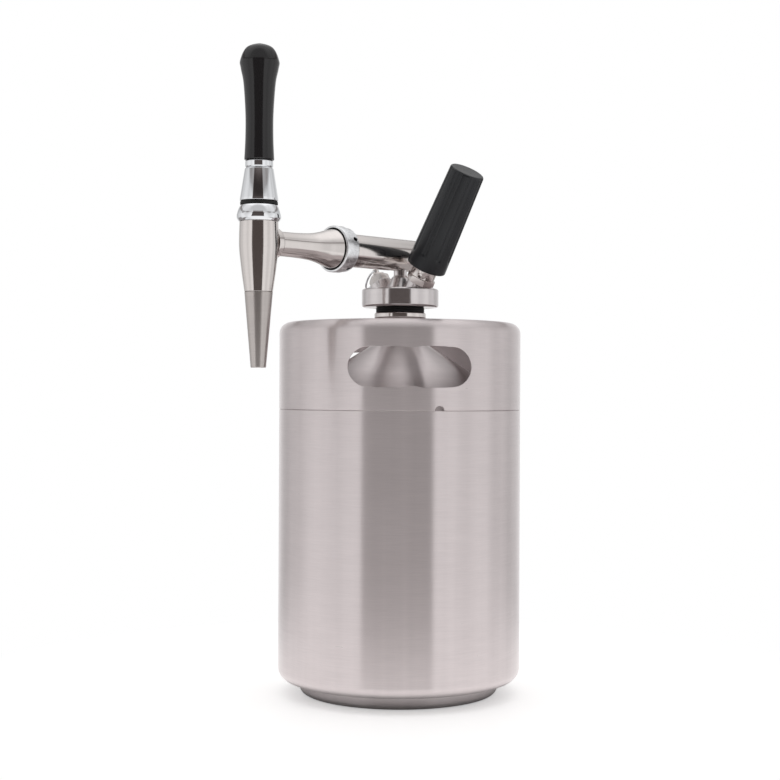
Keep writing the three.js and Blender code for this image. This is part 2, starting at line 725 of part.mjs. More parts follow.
// A cup that narrows towards its closed end, with flutes that follow its taper.
function chargerHolder() {
  const start = PORT_SEAT + 11.6;
  const length = 73;
  const end = start + length;
  const rim = 13.9;
  const tip = 12;
  const taper = (rim - tip) / length;
  const thread = { radius: PORT_THREAD + 0.7, end: start + 8 };
  const bore = CARTRIDGE_RADIUS + 0.7;
  const cup = revolve([
    [0, CARTRIDGE_END + 0.6],
    [bore, CARTRIDGE_END + 0.6],
    [bore, thread.end + 1],
    [thread.radius, thread.end],
    [thread.radius, start],
    [rim, start, 0.8],
    [tip, end, 1.6],
    [0, end],
  ], TAP_SEGMENTS);
  const flutes = { count: 8, radius: 4, depth: 0.8, start: 8 };
  const cutters = Array.from({ length: flutes.count }, (_, i) =>
    rod(flutes.radius, 0, length, 12)
      .rotateY(-Math.atan(taper))
      .translate(rim - taper * flutes.start + flutes.radius - flutes.depth, 0, start + flutes.start)
      .rotateZ((FULL_TURN * (i + 0.5)) / flutes.count));
  return cut(cup, ...cutters);
}

// ---- relief valve ----
// In this frame Z runs along the valve's axis.

const POPPET_SEAT = RELIEF_SEAT - 5;
const POPPET_RADIUS = 3.3;
const STEM_RADIUS = 1.5;
const CAP_TOP = RELIEF_SEAT + 7;

function reliefBody() {
  const hexTop = RELIEF_SEAT + 5;
  const spigotEnd = RELIEF_SEAT - SPIGOT_LENGTH;
  const inlet = 2;
  const spigot = rod(SPIGOT_RADIUS, spigotEnd, RELIEF_SEAT + 0.1);
  const bore = revolve([
    [0, spigotEnd - 1],
    [inlet, spigotEnd - 1],
    [inlet, POPPET_SEAT],
    [RELIEF_CHAMBER, POPPET_SEAT],
    [RELIEF_CHAMBER, hexTop + 1],
    [0, hexTop + 1],
  ], SMALL_SEGMENTS);
  return cut(join(hexBar(13, RELIEF_SEAT, hexTop), spigot), bore);
}

function reliefCap() {
  const bore = STEM_RADIUS + 0.3;
  const insert = { radius: RELIEF_CHAMBER - THREAD_GAP, bottom: RELIEF_SEAT + 3.5 };
  const head = { radius: 5.2, bottom: RELIEF_SEAT + 5.1 };
  return revolve([
    [bore, insert.bottom],
    [insert.radius, insert.bottom],
    [insert.radius, head.bottom],
    [head.radius, head.bottom],
    [head.radius, CAP_TOP, 0.5],
    [bore, CAP_TOP],
  ], SMALL_SEGMENTS);
}

const reliefSeal = () =>
  ring(0.9, POPPET_RADIUS, POPPET_SEAT + 0.1, POPPET_SEAT + 1.1, SMALL_SEGMENTS);

// How far the pull ring's hole is turned about the valve's axis.
const PULL_HOLE_TURN = 41.2 * DEGREE;
const PULL_HOLE_AT = RELIEF_SEAT + 10;

function reliefStem() {
  const pilot = 0.7;
  const poppet = { bottom: POPPET_SEAT + 1.2, top: POPPET_SEAT + 2.6 };
  const head = { radius: 2.3, bottom: CAP_TOP + 1, top: PULL_HOLE_AT + 2 };
  const stem = revolve([
    [0, POPPET_SEAT],
    [pilot, POPPET_SEAT],
    [pilot, poppet.bottom],
    [POPPET_RADIUS, poppet.bottom],
    [POPPET_RADIUS, poppet.top],
    [STEM_RADIUS, poppet.top],
    [STEM_RADIUS, head.bottom],
    [head.radius, head.bottom + 0.6],
    [head.radius, head.top, 0.8],
    [0, head.top],
  ], SMALL_SEGMENTS);
  const hole = rod(1.25, -4, 4, 12)
    .rotateX(Math.PI / 2)
    .rotateZ(PULL_HOLE_TURN)
    .translate(0, 0, PULL_HOLE_AT);
  return cut(stem, hole);
}

class Helix extends THREE.Curve {
  constructor(radius, turns, start, end) {
    super();
    Object.assign(this, { radius, turns, start, end });
  }

  getPoint(t, target = new THREE.Vector3()) {
    const angle = FULL_TURN * this.turns * t;
    return target.set(this.radius * Math.cos(angle), this.radius * Math.sin(angle),
      this.start + (this.end - this.start) * t);
  }
}

function reliefSpring() {
  const wire = 0.35;
  const turns = 4;
  const path = new Helix(2.6, turns, RELIEF_SEAT - 1.8, RELIEF_SEAT + 2.9);
  const section = new THREE.Shape().absarc(0, 0, wire, 0, FULL_TURN);
  return new THREE.ExtrudeGeometry(section, {
    steps: turns * 8, extrudePath: path, curveSegments: 3,
  });
}

// The ring hangs through the stem's hole and leans on the valve's hexagon.
function pullRing() {
  const radius = 6.8;
  const lean = 52 * DEGREE; // away from the valve's body
  const wire = 0.8;
  return new THREE.TorusGeometry(radius, wire, 6, 20)
    .rotateY(lean - Math.PI / 2)
    .translate(-radius * Math.sin(lean), 0, -radius * Math.cos(lean))
    .rotateZ(PULL_HOLE_TURN)
    .translate(0, 0, PULL_HOLE_AT);
}

// ---- assembly ----

function frameAt(parent, position, rotation) {
  const frame = new THREE.Group();
  frame.position.set(...position);
  frame.rotation.set(...rotation);
  parent.add(frame);
  return frame;
}

function buildTap(group) {
  add(group, 'neck_seal', neckSeal(), 'rubber');
  add(group, 'tap_base', tapBase(), 'brushedSteel');
  add(group, 'plug_seal', plugSeal(), 'rubber');
  add(group, 'dip_tube', dipTube(), 'polishedSteel');

  const shank = frameAt(group, [0, 0, SHANK_HEIGHT], [Math.PI / 2, 0, 0]);
  add(shank, 'shank_tube', shankTube(), 'polishedSteel');
  add(shank, 'retaining_ring', retainingRing(), 'zincSteel');
  add(shank, 'coupling_nut', couplingNut(), 'satinChrome');
  add(shank, 'shank_washer', shankWasher(), 'rubber');
  add(shank, 'valve_shaft', valveShaft(), 'polishedSteel');
  add(shank, 'valve_washer', valveWasher(), 'rubber');
  add(shank, 'valve_nut', valveNut(), 'polishedSteel');
}

function buildFaucet(group) {
  const faucet = frameAt(group, [0, -FAUCET_REACH, 0], [0, 0, 0]);
  add(faucet, 'faucet_body', faucetBody(), 'polishedSteel');
  add(faucet, 'nozzle', nozzle(), 'satinSteel');
  add(faucet, 'restrictor_disc', restrictorDisc(), 'polishedSteel');
  add(faucet, 'flow_straightener', flowStraightener(), 'whitePlastic');
  add(faucet, 'ball_seal', ballSeal(), 'rubber');
  add(faucet, 'friction_washer', frictionWasher(), 'whitePlastic');
  add(faucet, 'bonnet', bonnet(), 'chrome');
  add(faucet, 'lever_rod', leverRod(), 'polishedSteel');
  add(faucet, 'ferrule_ring', ferruleRing(), 'rubber');
  add(faucet, 'ferrule', ferrule(), 'chrome');
  add(faucet, 'handle_ring', handleRing(), 'chrome');
  add(faucet, 'handle', handle(), 'glossBlack');
}

function buildPorts(group) {
  const charger = frameAt(group, [0, 0, PORT_CROSSING], [0, PORT_TILT, 0]);
  add(charger, 'port_fitting', portFitting(), 'polishedSteel');
  add(charger, 'piercing_pin', piercingPin(), 'polishedSteel');
  add(charger, 'pin_gasket', pinGasket(), 'rubber');
  add(charger, 'gas_cartridge', gasCartridge(), 'zincSteel');
  add(charger, 'charger_holder', chargerHolder(), 'satinBlack');

  const relief = frameAt(group, [0, 0, PORT_CROSSING], [0, -PORT_TILT, 0]);
  add(relief, 'relief_body', reliefBody(), 'polishedSteel');
  add(relief, 'relief_cap', reliefCap(), 'polishedSteel');
  add(relief, 'relief_seal', reliefSeal(), 'rubber');
  add(relief, 'relief_stem', reliefStem(), 'polishedSteel');
  add(relief, 'relief_spring', reliefSpring(), 'zincSteel');
  add(relief, 'pull_ring', pullRing(), 'zincSteel');
}

const group = new THREE.Group();
const kegAxis = frameAt(group, [0, (FAUCET_REACH + BONNET_RADIUS - KEG_RADIUS) / 2, 0], [0, 0, 0]);
buildKeg(kegAxis);
buildTap(kegAxis);
buildFaucet(kegAxis);
buildPorts(kegAxis);

export default group;
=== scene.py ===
"""The looks of a five litre mini keg with a screw-in stout tap, built round its CAD frame.

Shapes are written in millimetres in the frame of the axis that each part is turned about, and MM
turns them into Blender's metres. The axes come from the joints, and heights and radii from the
CAD nodes; the numbers written here are the fine details that the CAD leaves out.

A function with a CAD node's name makes the finished shape of that node. It is given the node's
reach: where it starts and ends along its axis, and how far out it goes.
"""

import json
from collections import namedtuple
from math import acos, asin, atan, atan2, ceil, copysign, cos, hypot, pi, radians, sin, sqrt, tan

import bmesh
import bpy
from mathutils import Matrix, Vector

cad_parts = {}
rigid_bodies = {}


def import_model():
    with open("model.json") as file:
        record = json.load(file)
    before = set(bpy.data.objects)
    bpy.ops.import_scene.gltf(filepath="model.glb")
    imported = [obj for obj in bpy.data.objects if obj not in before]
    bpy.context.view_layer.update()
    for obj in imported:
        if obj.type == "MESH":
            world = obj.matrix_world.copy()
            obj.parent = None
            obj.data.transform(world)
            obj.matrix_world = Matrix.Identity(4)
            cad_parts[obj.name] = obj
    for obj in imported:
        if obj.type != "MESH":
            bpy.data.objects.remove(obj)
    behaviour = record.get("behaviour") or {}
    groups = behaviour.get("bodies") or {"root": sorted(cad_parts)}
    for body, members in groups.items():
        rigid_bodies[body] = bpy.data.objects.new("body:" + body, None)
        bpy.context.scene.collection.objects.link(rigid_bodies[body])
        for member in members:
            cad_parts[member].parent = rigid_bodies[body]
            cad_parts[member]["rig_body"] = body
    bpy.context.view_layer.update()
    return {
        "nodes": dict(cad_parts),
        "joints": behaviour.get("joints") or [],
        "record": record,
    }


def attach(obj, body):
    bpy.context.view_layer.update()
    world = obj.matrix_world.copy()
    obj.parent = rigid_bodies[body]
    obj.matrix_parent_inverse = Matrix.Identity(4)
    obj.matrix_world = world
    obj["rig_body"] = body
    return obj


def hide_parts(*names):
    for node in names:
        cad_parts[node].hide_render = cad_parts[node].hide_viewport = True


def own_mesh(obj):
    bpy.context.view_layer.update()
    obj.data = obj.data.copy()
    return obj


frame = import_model()

MM = 0.001
TINY = 1e-6
FULL_TURN = 2 * pi
QUARTER = pi / 2

WIDE = 320  # the sides of the keg's pieces
MEDIUM = 160
SMALL = 72

SHEET = 1.2  # thickness of the keg's steel sheet
NECK_LIP = 1.5  # how far the neck's lip stands out
NECK_BORE = 13.5
WELD_GAP = 0.1
THREAD_GAP = 0.2
PLUG_PITCH = 2
FINE_PITCH = 1.4
CREASE = radians(32)  # edges that turn more than this are shown sharp
TURNED_UV = "turned"  # u runs round the axis and v along the outline, both in metres

# ---- the axes that the parts are turned about, from the CAD's joints ----

JOINTS = {joint["name"]: joint for joint in frame["joints"]}


def axis_frame(origin, along):
    """A frame whose z runs along an axis and whose x leans towards the whole frame's x."""
    z = Vector(along).normalized()
    y = z.cross(Vector((1, 0, 0))).normalized()
    matrix = Matrix((y.cross(z), y, z)).transposed().to_4x4()
    matrix.translation = origin
    return matrix


KEG_Y = JOINTS["tap_turn"]["pos_m"][1]
KEG = axis_frame((0, KEG_Y, 0), (0, 0, 1))
SHANK_Z = JOINTS["nut_turn"]["pos_m"][2]
SHANK = axis_frame((0, KEG_Y, SHANK_Z), -Vector(JOINTS["nut_turn"]["axis"]))
PIVOT = Vector(JOINTS["lever_tilt"]["pos_m"])
FAUCET = axis_frame((0, PIVOT.y, 0), (0, 0, 1))
BALL = PIVOT.z / MM  # height of the lever's ball
REACH_OUT = (KEG_Y - PIVOT.y) / MM  # from the keg's axis to the faucet's

# The gas port and the relief valve lean out from the point where their axes cross the keg's.
HOLDER_POINT = Vector(JOINTS["holder_turn"]["pos_m"])
HOLDER_AXIS = Vector(JOINTS["holder_turn"]["axis"])
CROSSING = HOLDER_POINT - HOLDER_AXIS * (HOLDER_POINT.x / HOLDER_AXIS.x)
CHARGER = axis_frame(CROSSING, HOLDER_AXIS)
RELIEF = axis_frame(CROSSING, JOINTS["relief_pull"]["axis"])

RING_AXIS = RELIEF.to_3x3().inverted() @ Vector(JOINTS["ring_swing"]["axis"])
RING_TURN = atan2(-RING_AXIS.x, RING_AXIS.y)
RING_HOLE = (RELIEF.inverted() @ Vector(JOINTS["ring_swing"]["pos_m"])).z / MM

Reach = namedtuple("Reach", "start end radius")


def reach(node, axis):
    """Where a CAD node starts and ends along an axis and how far out it goes, in millimetres."""
    local = axis.inverted()
    points = [local @ vertex.co / MM for vertex in frame["nodes"][node].data.vertices]
    heights = [point.z for point in points]
    return Reach(min(heights), max(heights), max(hypot(point.x, point.y) for point in points))


# ---- outlines: lists of (radius, height) or (radius, height, fillet) corners ----


def round_corner(before, corner, after, radius):
    """The points of an arc that touches both sides of a corner."""
    to_before = (before - corner).normalized()
    to_after = (after - corner).normalized()
    half = to_before.angle(to_after) / 2
    centre = corner + (to_before + to_after).normalized() * (radius / sin(half))
    start = corner + to_before * (radius / tan(half)) - centre
    end = corner + to_after * (radius / tan(half)) - centre
    side = copysign(1, start.cross(end))
    sweep = pi - 2 * half
    steps = max(3, ceil(sweep / radians(9)))
    turns = [Matrix.Rotation(side * sweep * step / steps, 2) for step in range(steps + 1)]
    return [centre + turn @ start for turn in turns]


def rounded(corners):
    """The outline with an arc in place of each corner that has a fillet."""
    points = []
    for index, (radius, height, *fillet) in enumerate(corners):
        corner = Vector((radius, height))
        if not fillet:
            points.append(corner)
            continue
        before = Vector(corners[index - 1][:2])
        after = Vector(corners[(index + 1) % len(corners)][:2])
        points += round_corner(before, corner, after, fillet[0])
    return points


def smooth(controls, steps=48):
    """Points on a smooth curve through a few control points."""
    points = [Vector(control) for control in controls]
    last = len(points) - 1
    curve = []
    for step in range(steps + 1):
        place = step / steps * last
        index = min(int(place), last - 1)
        t = place - index
        p0, p1 = points[max(index - 1, 0)], points[index]
        p2, p3 = points[index + 1], points[min(index + 2, last)]
        m1, m2 = (p2 - p0) / 2, (p3 - p1) / 2
        point = (2 * p1 - 2 * p2 + m1 + m2) * t ** 3
        point += (3 * p2 - 3 * p1 - 2 * m1 - m2) * t ** 2 + m1 * t + p1
        curve.append(tuple(point))
    return curve


def ball_arc(height, radius, start, end, steps=24):
    """Points on an arc around a point on the axis; angles are in radians above horizontal."""
    angles = [start + (end - start) * step / steps for step in range(steps + 1)]
    return [(radius * cos(angle), height + radius * sin(angle)) for angle in angles]


def rows(radius, start, end, pitch):
    """Outline points on a cylinder, close enough together to press a thread into."""
    count = ceil(abs(end - start) / pitch * 8)
    return [(radius, start + (end - start) * i / count) for i in range(count + 1)]


# ---- meshes ----


def new_object(name, vertices, faces, uvs):
    """A mesh object from vertices in millimetres, with one (u, v) in metres for each face corner."""
    mesh = bpy.data.meshes.new(name)
    mesh.from_pydata([Vector(vertex) * MM for vertex in vertices], [], faces)
    layer = mesh.uv_layers.new(name=TURNED_UV)
    layer.data.foreach_set("uv", [value for face in uvs for uv in face for value in uv])
    return in_scene(name, mesh)


def in_scene(name, data):
    obj = bpy.data.objects.new(name, data)
    bpy.context.scene.collection.objects.link(obj)
    return obj


def turned(corners, segments=MEDIUM):
    """Turns an outline about z. It runs up the outside and down the inside, and either starts and
    ends on the axis or closes on itself."""
    points = rounded(corners)
    closed = points[0].x > TINY
    vertices, rings = [], []
    for radius, height in points:
        count = segments if radius > TINY else 1
        rings.append([len(vertices) + k for k in range(count)] * (segments // count))
        angles = [FULL_TURN * k / segments for k in range(count)]
        vertices += [(radius * cos(a), radius * sin(a), height) for a in angles]
    around = FULL_TURN * max(point.x for point in points) * MM / segments
    length = 0
    faces, uvs = [], []
    for index in range(len(rings) if closed else len(rings) - 1):
        after = (index + 1) % len(rings)
        step = (points[after] - points[index]).length * MM
        low, high = rings[index], rings[after]
        for k in range(segments):
            n = (k + 1) % segments
            corner = [(low[k], (k, 0)), (low[n], (k + 1, 0)), (high[n], (k + 1, 1)), (high[k], (k, 1))]
            if low[k] == low[n]:
                del corner[1]
            elif high[k] == high[n]:
                del corner[2]
            faces.append([vertex for vertex, _ in corner])
            uvs.append([(u * around, length + v * step) for _, (u, v) in corner])
        length += step
    return new_object("turned", vertices, faces, uvs)


def rod(radius, start, end, segments=SMALL, *edge):
    return turned([(0, start), (radius, start, *edge), (radius, end, *edge), (0, end)], segments)


def ring(inner, outer, start, end, edge, segments=MEDIUM):
    corners = [(inner, start, edge), (outer, start, edge), (outer, end, edge), (inner, end, edge)]
    return turned(corners, segments)


def round_seal(start, end, outer):
    """A ring of round section that fills its reach."""
    wire = (end - start) / 2
    middle = (start + end) / 2
    angles = [FULL_TURN * step / 24 - QUARTER for step in range(24)]
    return turned([(outer - wire + wire * cos(a), middle + wire * sin(a)) for a in angles])


def coil(radius, wire, turns, start, end, steps_per_turn=72, sides=14):
    """A wire wound round z, with rounded ends."""
    steps = ceil(turns * steps_per_turn)
    cap = 5
    vertices, faces, uvs = [], [], []
    for step in range(-cap, steps + cap + 1):
        over = max(-step, step - steps, 0) / cap * QUARTER
        share = min(max(step, 0), steps) / steps
        beyond = wire * sin(over) * copysign(1, step)
        angle = FULL_TURN * turns * share + beyond / radius
        height = start + (end - start) * share
        thickness = wire * cos(over)
        for side in range(sides):
            turn = FULL_TURN * side / sides
            out = radius + thickness * cos(turn)
            up = height + thickness * sin(turn)
            vertices.append((out * cos(angle), out * sin(angle), up))
    sections = len(vertices) // sides
    for index in range(sections - 1):
        for side in range(sides):
            n = (side + 1) % sides
            corners = ((side, index), (side, index + 1), (n, index + 1), (n, index))
            faces.append([v * sides + u for u, v in corners])
            uvs.append([(u * wire * MM, v * wire * MM) for u, v in corners])
    for first, step in ((0, 1), (len(vertices) - 1, -1)):
        faces.append([first + step * side for side in range(sides)])
        uvs.append([(0, 0)] * sides)
    return new_object("coil", vertices, faces, uvs)


def block(width, depth, height, centre=(0, 0, 0)):
    """A plain box that other shapes are cut with."""
    signs = [(x, y, z) for x in (-1, 1) for y in (-1, 1) for z in (-1, 1)]
    half = Vector((width, depth, height)) / 2
    vertices = [Vector(centre) + Vector(a * b for a, b in zip(half, sign)) for sign in signs]
    faces = [(0, 1, 3, 2), (4, 6, 7, 5), (0, 4, 5, 1), (2, 3, 7, 6), (0, 2, 6, 4), (1, 5, 7, 3)]
    uvs = [[(0, 0), (MM, 0), (MM, MM), (0, MM)]] * len(faces)
    return faces_outward(new_object("block", vertices, faces, uvs))


def faces_outward(obj):
    mesh = bmesh.new()
    mesh.from_mesh(obj.data)
    bmesh.ops.recalc_face_normals(mesh, faces=mesh.faces)
    mesh.to_mesh(obj.data)
    mesh.free()
    return obj


def moved(obj, matrix):
    obj.data.transform(matrix)
    return obj


def shift(x=0, y=0, z=0):
    return Matrix.Translation(Vector((x, y, z)) * MM)


def turn(angle, axis="Z"):
    return Matrix.Rotation(angle, 4, axis)


def combine(base, tools, operation):
    """Joins tools to the base, cuts them out of it or keeps what they share with it."""
    for tool in tools:
        modifier = base.modifiers.new("combine", "BOOLEAN")
        modifier.operation = operation
        modifier.solver = "EXACT"
        modifier.object = tool
    graph = bpy.context.evaluated_depsgraph_get()
    mesh = bpy.data.meshes.new_from_object(base.evaluated_get(graph))
    base.modifiers.clear()
    base.data = mesh
    for tool in tools:
        bpy.data.objects.remove(tool)
    return base


def cut(base, *tools):
    return combine(base, tools, "DIFFERENCE")


def join(base, *tools):
    return combine(base, tools, "UNION")


def around(count, make, first=0):
    """Copies of a cutter spread evenly round z."""
    return [moved(make(), turn(first + FULL_TURN * i / count)) for i in range(count)]


def hexagon(across_flats, start, end, chamfer=0.9):
    """A hexagonal nut with its corners turned off at both ends."""
    corner = across_flats / 2 / cos(pi / 6)
    bar = moved(rod(corner, start, end, 6), turn(pi / 6))
    slope = chamfer * tan(radians(30))
    envelope = turned([
        (0, start - 1), (corner - chamfer, start - 1), (corner - chamfer, start),
        (corner + 0.05, start + slope), (corner + 0.05, end - slope), (corner - chamfer, end),
        (corner - chamfer, end + 1), (0, end + 1),
    ], SMALL)
    return combine(bar, [envelope], "INTERSECT")


def press_thread(obj, radius, start, end, pitch, depth):
    """Presses a screw thread into the rows of a turned shape."""
    low, high = sorted((start, end))
    for vertex in obj.data.vertices:
        x, y, z = vertex.co / MM
        out = hypot(x, y)
        if abs(out - radius) > 0.01 or not low <= z <= high:
            continue
        phase = (z / pitch - atan2(y, x) / FULL_TURN) % 1
        groove = max(0, 1 - 1.25 * abs(2 * phase - 1))
        fade = min(1, (z - low) / pitch, (high - z) / pitch)
        scale = (out - depth * groove * fade) / out
        vertex.co.xy *= scale
    return obj


# ---- materials ----


class Nodes:
    """A node tree and short ways to add nodes to it."""

    def __init__(self, tree):
        self.tree = tree

    def put(self, socket, value):
        if isinstance(value, bpy.types.NodeSocket):
            self.tree.links.new(value, socket)
        else:
            socket.default_value = value

    def node(self, kind, settings=None, **inputs):
        """A shader node with inputs given by name."""
        made = self.tree.nodes.new("ShaderNode" + kind)
        for key, value in (settings or {}).items():
            setattr(made, key, value)
        for key, value in inputs.items():
            self.put(made.inputs[key.replace("_", " ")], value)
        return made

    def result(self, kind, inputs, output=0, **settings):
        """One output of a shader node with inputs given by number."""
        made = self.node(kind, settings)
        for number, value in inputs.items():
            self.put(made.inputs[number], value)
        return made.outputs[output]

    def math(self, operation, a, b=0.0):
        return self.result("Math", {0: a, 1: b}, operation=operation)

    def weighted(self, a, share, b, other_share):
        return self.math("ADD", self.math("MULTIPLY", a, share), self.math("MULTIPLY", b, other_share))

    def vector_math(self, operation, a, b=(0, 0, 0), output="Value"):
        return self.result("VectorMath", {0: a, 1: b}, output, operation=operation)

    def mix(self, factor, a, b):
        return self.result("Mix", {0: factor, 6: a, 7: b}, 2, data_type="RGBA")

    def level(self, factor, a, b):
        return self.result("Mix", {0: factor, 2: a, 3: b}, data_type="FLOAT")

    def layer(self, factor, a, b):
        return self.result("MixShader", {0: factor, 1: a, 2: b})

    def remap(self, value, low, high, start=0.0, end=1.0, curve="LINEAR"):
        made = self.node("MapRange", {"interpolation_type": curve}, Value=value,
                         From_Min=low, From_Max=high, To_Min=start, To_Max=end)
        return made.outputs[0]

    def noise(self, vector, scale=1.0, detail=2.0, roughness=0.5):
        made = self.node("TexNoise", Vector=vector, Scale=scale, Detail=detail,
                         Roughness=roughness)
        return made.outputs["Fac"]

    def seen_by_camera(self):
        return self.node("LightPath").outputs["Is Camera Ray"]


MATERIALS = {}


class Finish(Nodes):
    """A procedural material: its Principled shader and the patterns it is made with."""

    def __init__(self, name):
        material = bpy.data.materials.new(name)
        material.use_nodes = True
        MATERIALS[name] = material
        super().__init__(material.node_tree)
        self.shader = self.tree.nodes["Principled BSDF"]
        self.place = self.node("TexCoord").outputs["Object"]
        self.split = self.node("SeparateXYZ", Vector=self.place)
        uv = self.node("UVMap", {"uv_map": TURNED_UV})
        self.along = self.node("SeparateXYZ", Vector=uv.outputs["UV"]).outputs["Y"]
        self.normal = None

    def set(self, **inputs):
        for key, value in inputs.items():
            self.put(self.shader.inputs[key.replace("_", " ")], value)

    def surface(self, color, roughness, **others):
        self.set(Base_Color=color, Roughness=roughness, **others)

    def shades(self, factor, color, dark, light):
        """From a darker to a lighter shade of one colour."""
        ends = [[min(1, channel * shade) for channel in color] + [1] for shade in (dark, light)]
        return self.mix(factor, *ends)

    def spots(self, scale, detail, roughness=0.5):
        return self.noise(self.place, scale, detail, roughness)

    def stretched(self, across, along):
        """Coordinates for lines that run round the axis: slow across it and quick along it."""
        return self.result("CombineXYZ", {
            0: self.math("MULTIPLY", self.split.outputs["X"], across),
            1: self.math("MULTIPLY", self.split.outputs["Y"], across),
            2: self.math("MULTIPLY", self.along, along),
        })

    def upright(self, across, along):
        """Coordinates for streaks that run along the axis."""
        return self.node("Mapping", Vector=self.place, Scale=(across, across, along)).outputs[0]

    def bump(self, height, distance):
        made = self.node("Bump", Height=height, Distance=distance, Strength=1.0)
        if self.normal is not None:
            self.put(made.inputs["Normal"], self.normal)
        self.normal = made.outputs[0]
        self.set(Normal=self.normal)


def turned_metal(name, color, roughness, anisotropy, line_depth, lines=1500.0, shade=0.05, haze=0.0):
    """Steel finished on a lathe: fine lines round the axis, uneven sheen and faint handling marks.
    Haze is the share of light that the rubbed surface scatters every way."""
    look = Finish(name)
    fine = look.noise(look.stretched(70, lines), detail=4, roughness=0.65)
    coarse = look.noise(look.stretched(30, lines / 6))
    smudges = look.spots(38, 4)
    sheen = look.noise(look.upright(60, 4))
    stripes = look.noise(look.upright(120, 2))
    streaks = look.weighted(fine, 0.7, coarse, 0.3)
    mottle = look.weighted(streaks, 0.65, stripes, 0.35)
    tone = look.remap(mottle, 0.35, 0.65)
    rough = look.remap(streaks, 0.3, 0.7, roughness * 1.06, roughness * 0.94)
    worn = look.remap(smudges, 0.5, 0.8, 0.0, roughness * 0.1)
    round_axis = look.result("Tangent", {}, direction_type="UV_MAP", uv_map=TURNED_UV)
    look.set(Base_Color=look.shades(tone, color, 1 - shade, 1 + shade), Metallic=1 - haze,
             Roughness=look.math("ADD", rough, worn), Anisotropic=anisotropy,
             Anisotropic_Rotation=0.25, Tangent=round_axis)
    look.bump(sheen, 2e-5)
    look.bump(streaks, line_depth)


def mirror_metal(name, color, roughness):
    """Chrome plate: nearly a mirror, with a little orange peel and wiped smudges."""
    look = Finish(name)
    smudges = look.spots(140, 5)
    wipes = look.noise(look.stretched(60, 700), detail=3)
    marks = look.math("MULTIPLY", smudges, wipes)
    look.surface(look.shades(smudges, color, 0.97, 1.02),
                 look.remap(marks, 0.15, 0.45, roughness, roughness * 2.2), Metallic=1.0)
    look.bump(look.spots(320, 2), 4e-6)


def blasted_metal(name, color, roughness, painted_shade_within, rear_face):
    """Plated metal with a fine blasted grain. In front of its rear face and closer to the axis than the
    radius given for that, which is inside the bore and the holes, it is painted near-black: painted shade
    in the recesses."""
    look = Finish(name)
    grain = look.spots(1500, 4, 0.7)
    clouds = look.spots(420, 3)
    from_axis = look.vector_math("LENGTH", look.vector_math("MULTIPLY", look.place, (1, 1, 0), "Vector"))
    outside = look.remap(from_axis, painted_shade_within - 0.0003, painted_shade_within)
    behind = look.remap(look.split.outputs["Z"], rear_face + 0.0005, rear_face + 0.0008, 1, 0)
    clear_of_painted_shade = look.math("MAXIMUM", outside, behind)
    mottle = look.remap(look.math("MULTIPLY", grain, clouds), 0.15, 0.36)
    tone = look.shades(mottle, color, 0.84, 1.08)
    # Painted shade: near-black inside the bore and holes, the plated tone elsewhere.
    look.surface(look.mix(clear_of_painted_shade, (0.015, 0.014, 0.014, 1), tone),
                 look.remap(grain, 0.3, 0.7, roughness * 0.85, roughness * 1.15), Metallic=1.0)
    look.bump(grain, 2.5e-5)


def plated_metal(name, color, roughness):
    """Zinc plate: a fine crystalline mottle over bright metal."""
    look = Finish(name)
    cells = look.node("TexVoronoi", Vector=look.place, Scale=900.0).outputs["Distance"]
    clouds = look.spots(160, 4)
    look.surface(look.shades(clouds, color, 0.88, 1.1),
                 look.remap(cells, 0, 0.8, roughness * 0.85, roughness * 1.3), Metallic=1.0)
    look.bump(cells, 6e-6)


def gloss_plastic(name, color, roughness):
    """Polished black plastic with faint waves under the gloss and fine wiping scratches."""
    look = Finish(name)
    waves = look.spots(55, 2)
    dust = look.spots(2400, 3)
    scratches = look.noise(look.upright(2600, 90))
    marks = look.math("MULTIPLY", scratches, dust)
    look.surface(look.shades(dust, color, 0.8, 1.5),
                 look.remap(marks, 0.2, 0.42, roughness, roughness * 2.4), Specular_IOR_Level=0.4)
    look.bump(waves, 4e-5)


def satin_plastic(name, color, roughness):
    """Moulded plastic: a fine eggshell grain and slight shade changes."""
    look = Finish(name)
    grain = look.spots(2600, 4, 0.65)
    clouds = look.spots(70, 3)
    look.surface(look.shades(clouds, color, 0.85, 1.25),
                 look.remap(grain, 0.3, 0.7, roughness * 0.85, roughness * 1.2), Specular_IOR_Level=0.35)
    look.bump(grain, 1.2e-5)


def moulded_rubber(name, color, roughness):
    """Black rubber with a coarse grain and a pale bloom in patches."""
    look = Finish(name)
    grain = look.spots(1500, 5, 0.7)
    bloom = look.spots(90, 3)
    look.surface(look.shades(bloom, color, 0.8, 1.9),
                 look.remap(grain, 0.3, 0.7, roughness * 0.9, roughness * 1.15), Specular_IOR_Level=0.35)
    look.bump(grain, 3e-5)


turned_metal("brushed_steel", (0.725, 0.658, 0.66), 0.29, 1.0, 5e-6, haze=0.3)
turned_metal("fine_turned_steel", (0.68, 0.64, 0.64), 0.2, 0.8, 3e-6, 2600.0, haze=0.05)
turned_metal("satin_steel", (0.54, 0.5, 0.48), 0.36, 0.55, 8e-6, shade=0.06)
turned_metal("polished_steel", (0.71, 0.665, 0.645), 0.13, 0.45, 2e-6, shade=0.03)
mirror_metal("chrome", (0.84, 0.85, 0.87), 0.035)
blasted_metal("satin_chrome", (0.88, 0.885, 0.90), 0.3, 0.0145, reach("coupling_nut", SHANK).start * MM)
gloss_plastic("gloss_black", (0.015, 0.014, 0.015), 0.09)
satin_plastic("satin_black", (0.017, 0.018, 0.021), 0.3)
moulded_rubber("black_rubber", (0.008, 0.008, 0.008), 0.6)
satin_plastic("white_plastic", (0.72, 0.70, 0.66), 0.4)
plated_metal("zinc_steel", (0.62, 0.63, 0.65), 0.26)

# A piece whose look differs a little from the rest of its slot.
OWN_FINISH = {"tap_base": "fine_turned_steel"}
SLOTS = {part["node"]: part["material_slot"] for part in frame["record"]["subparts"]}


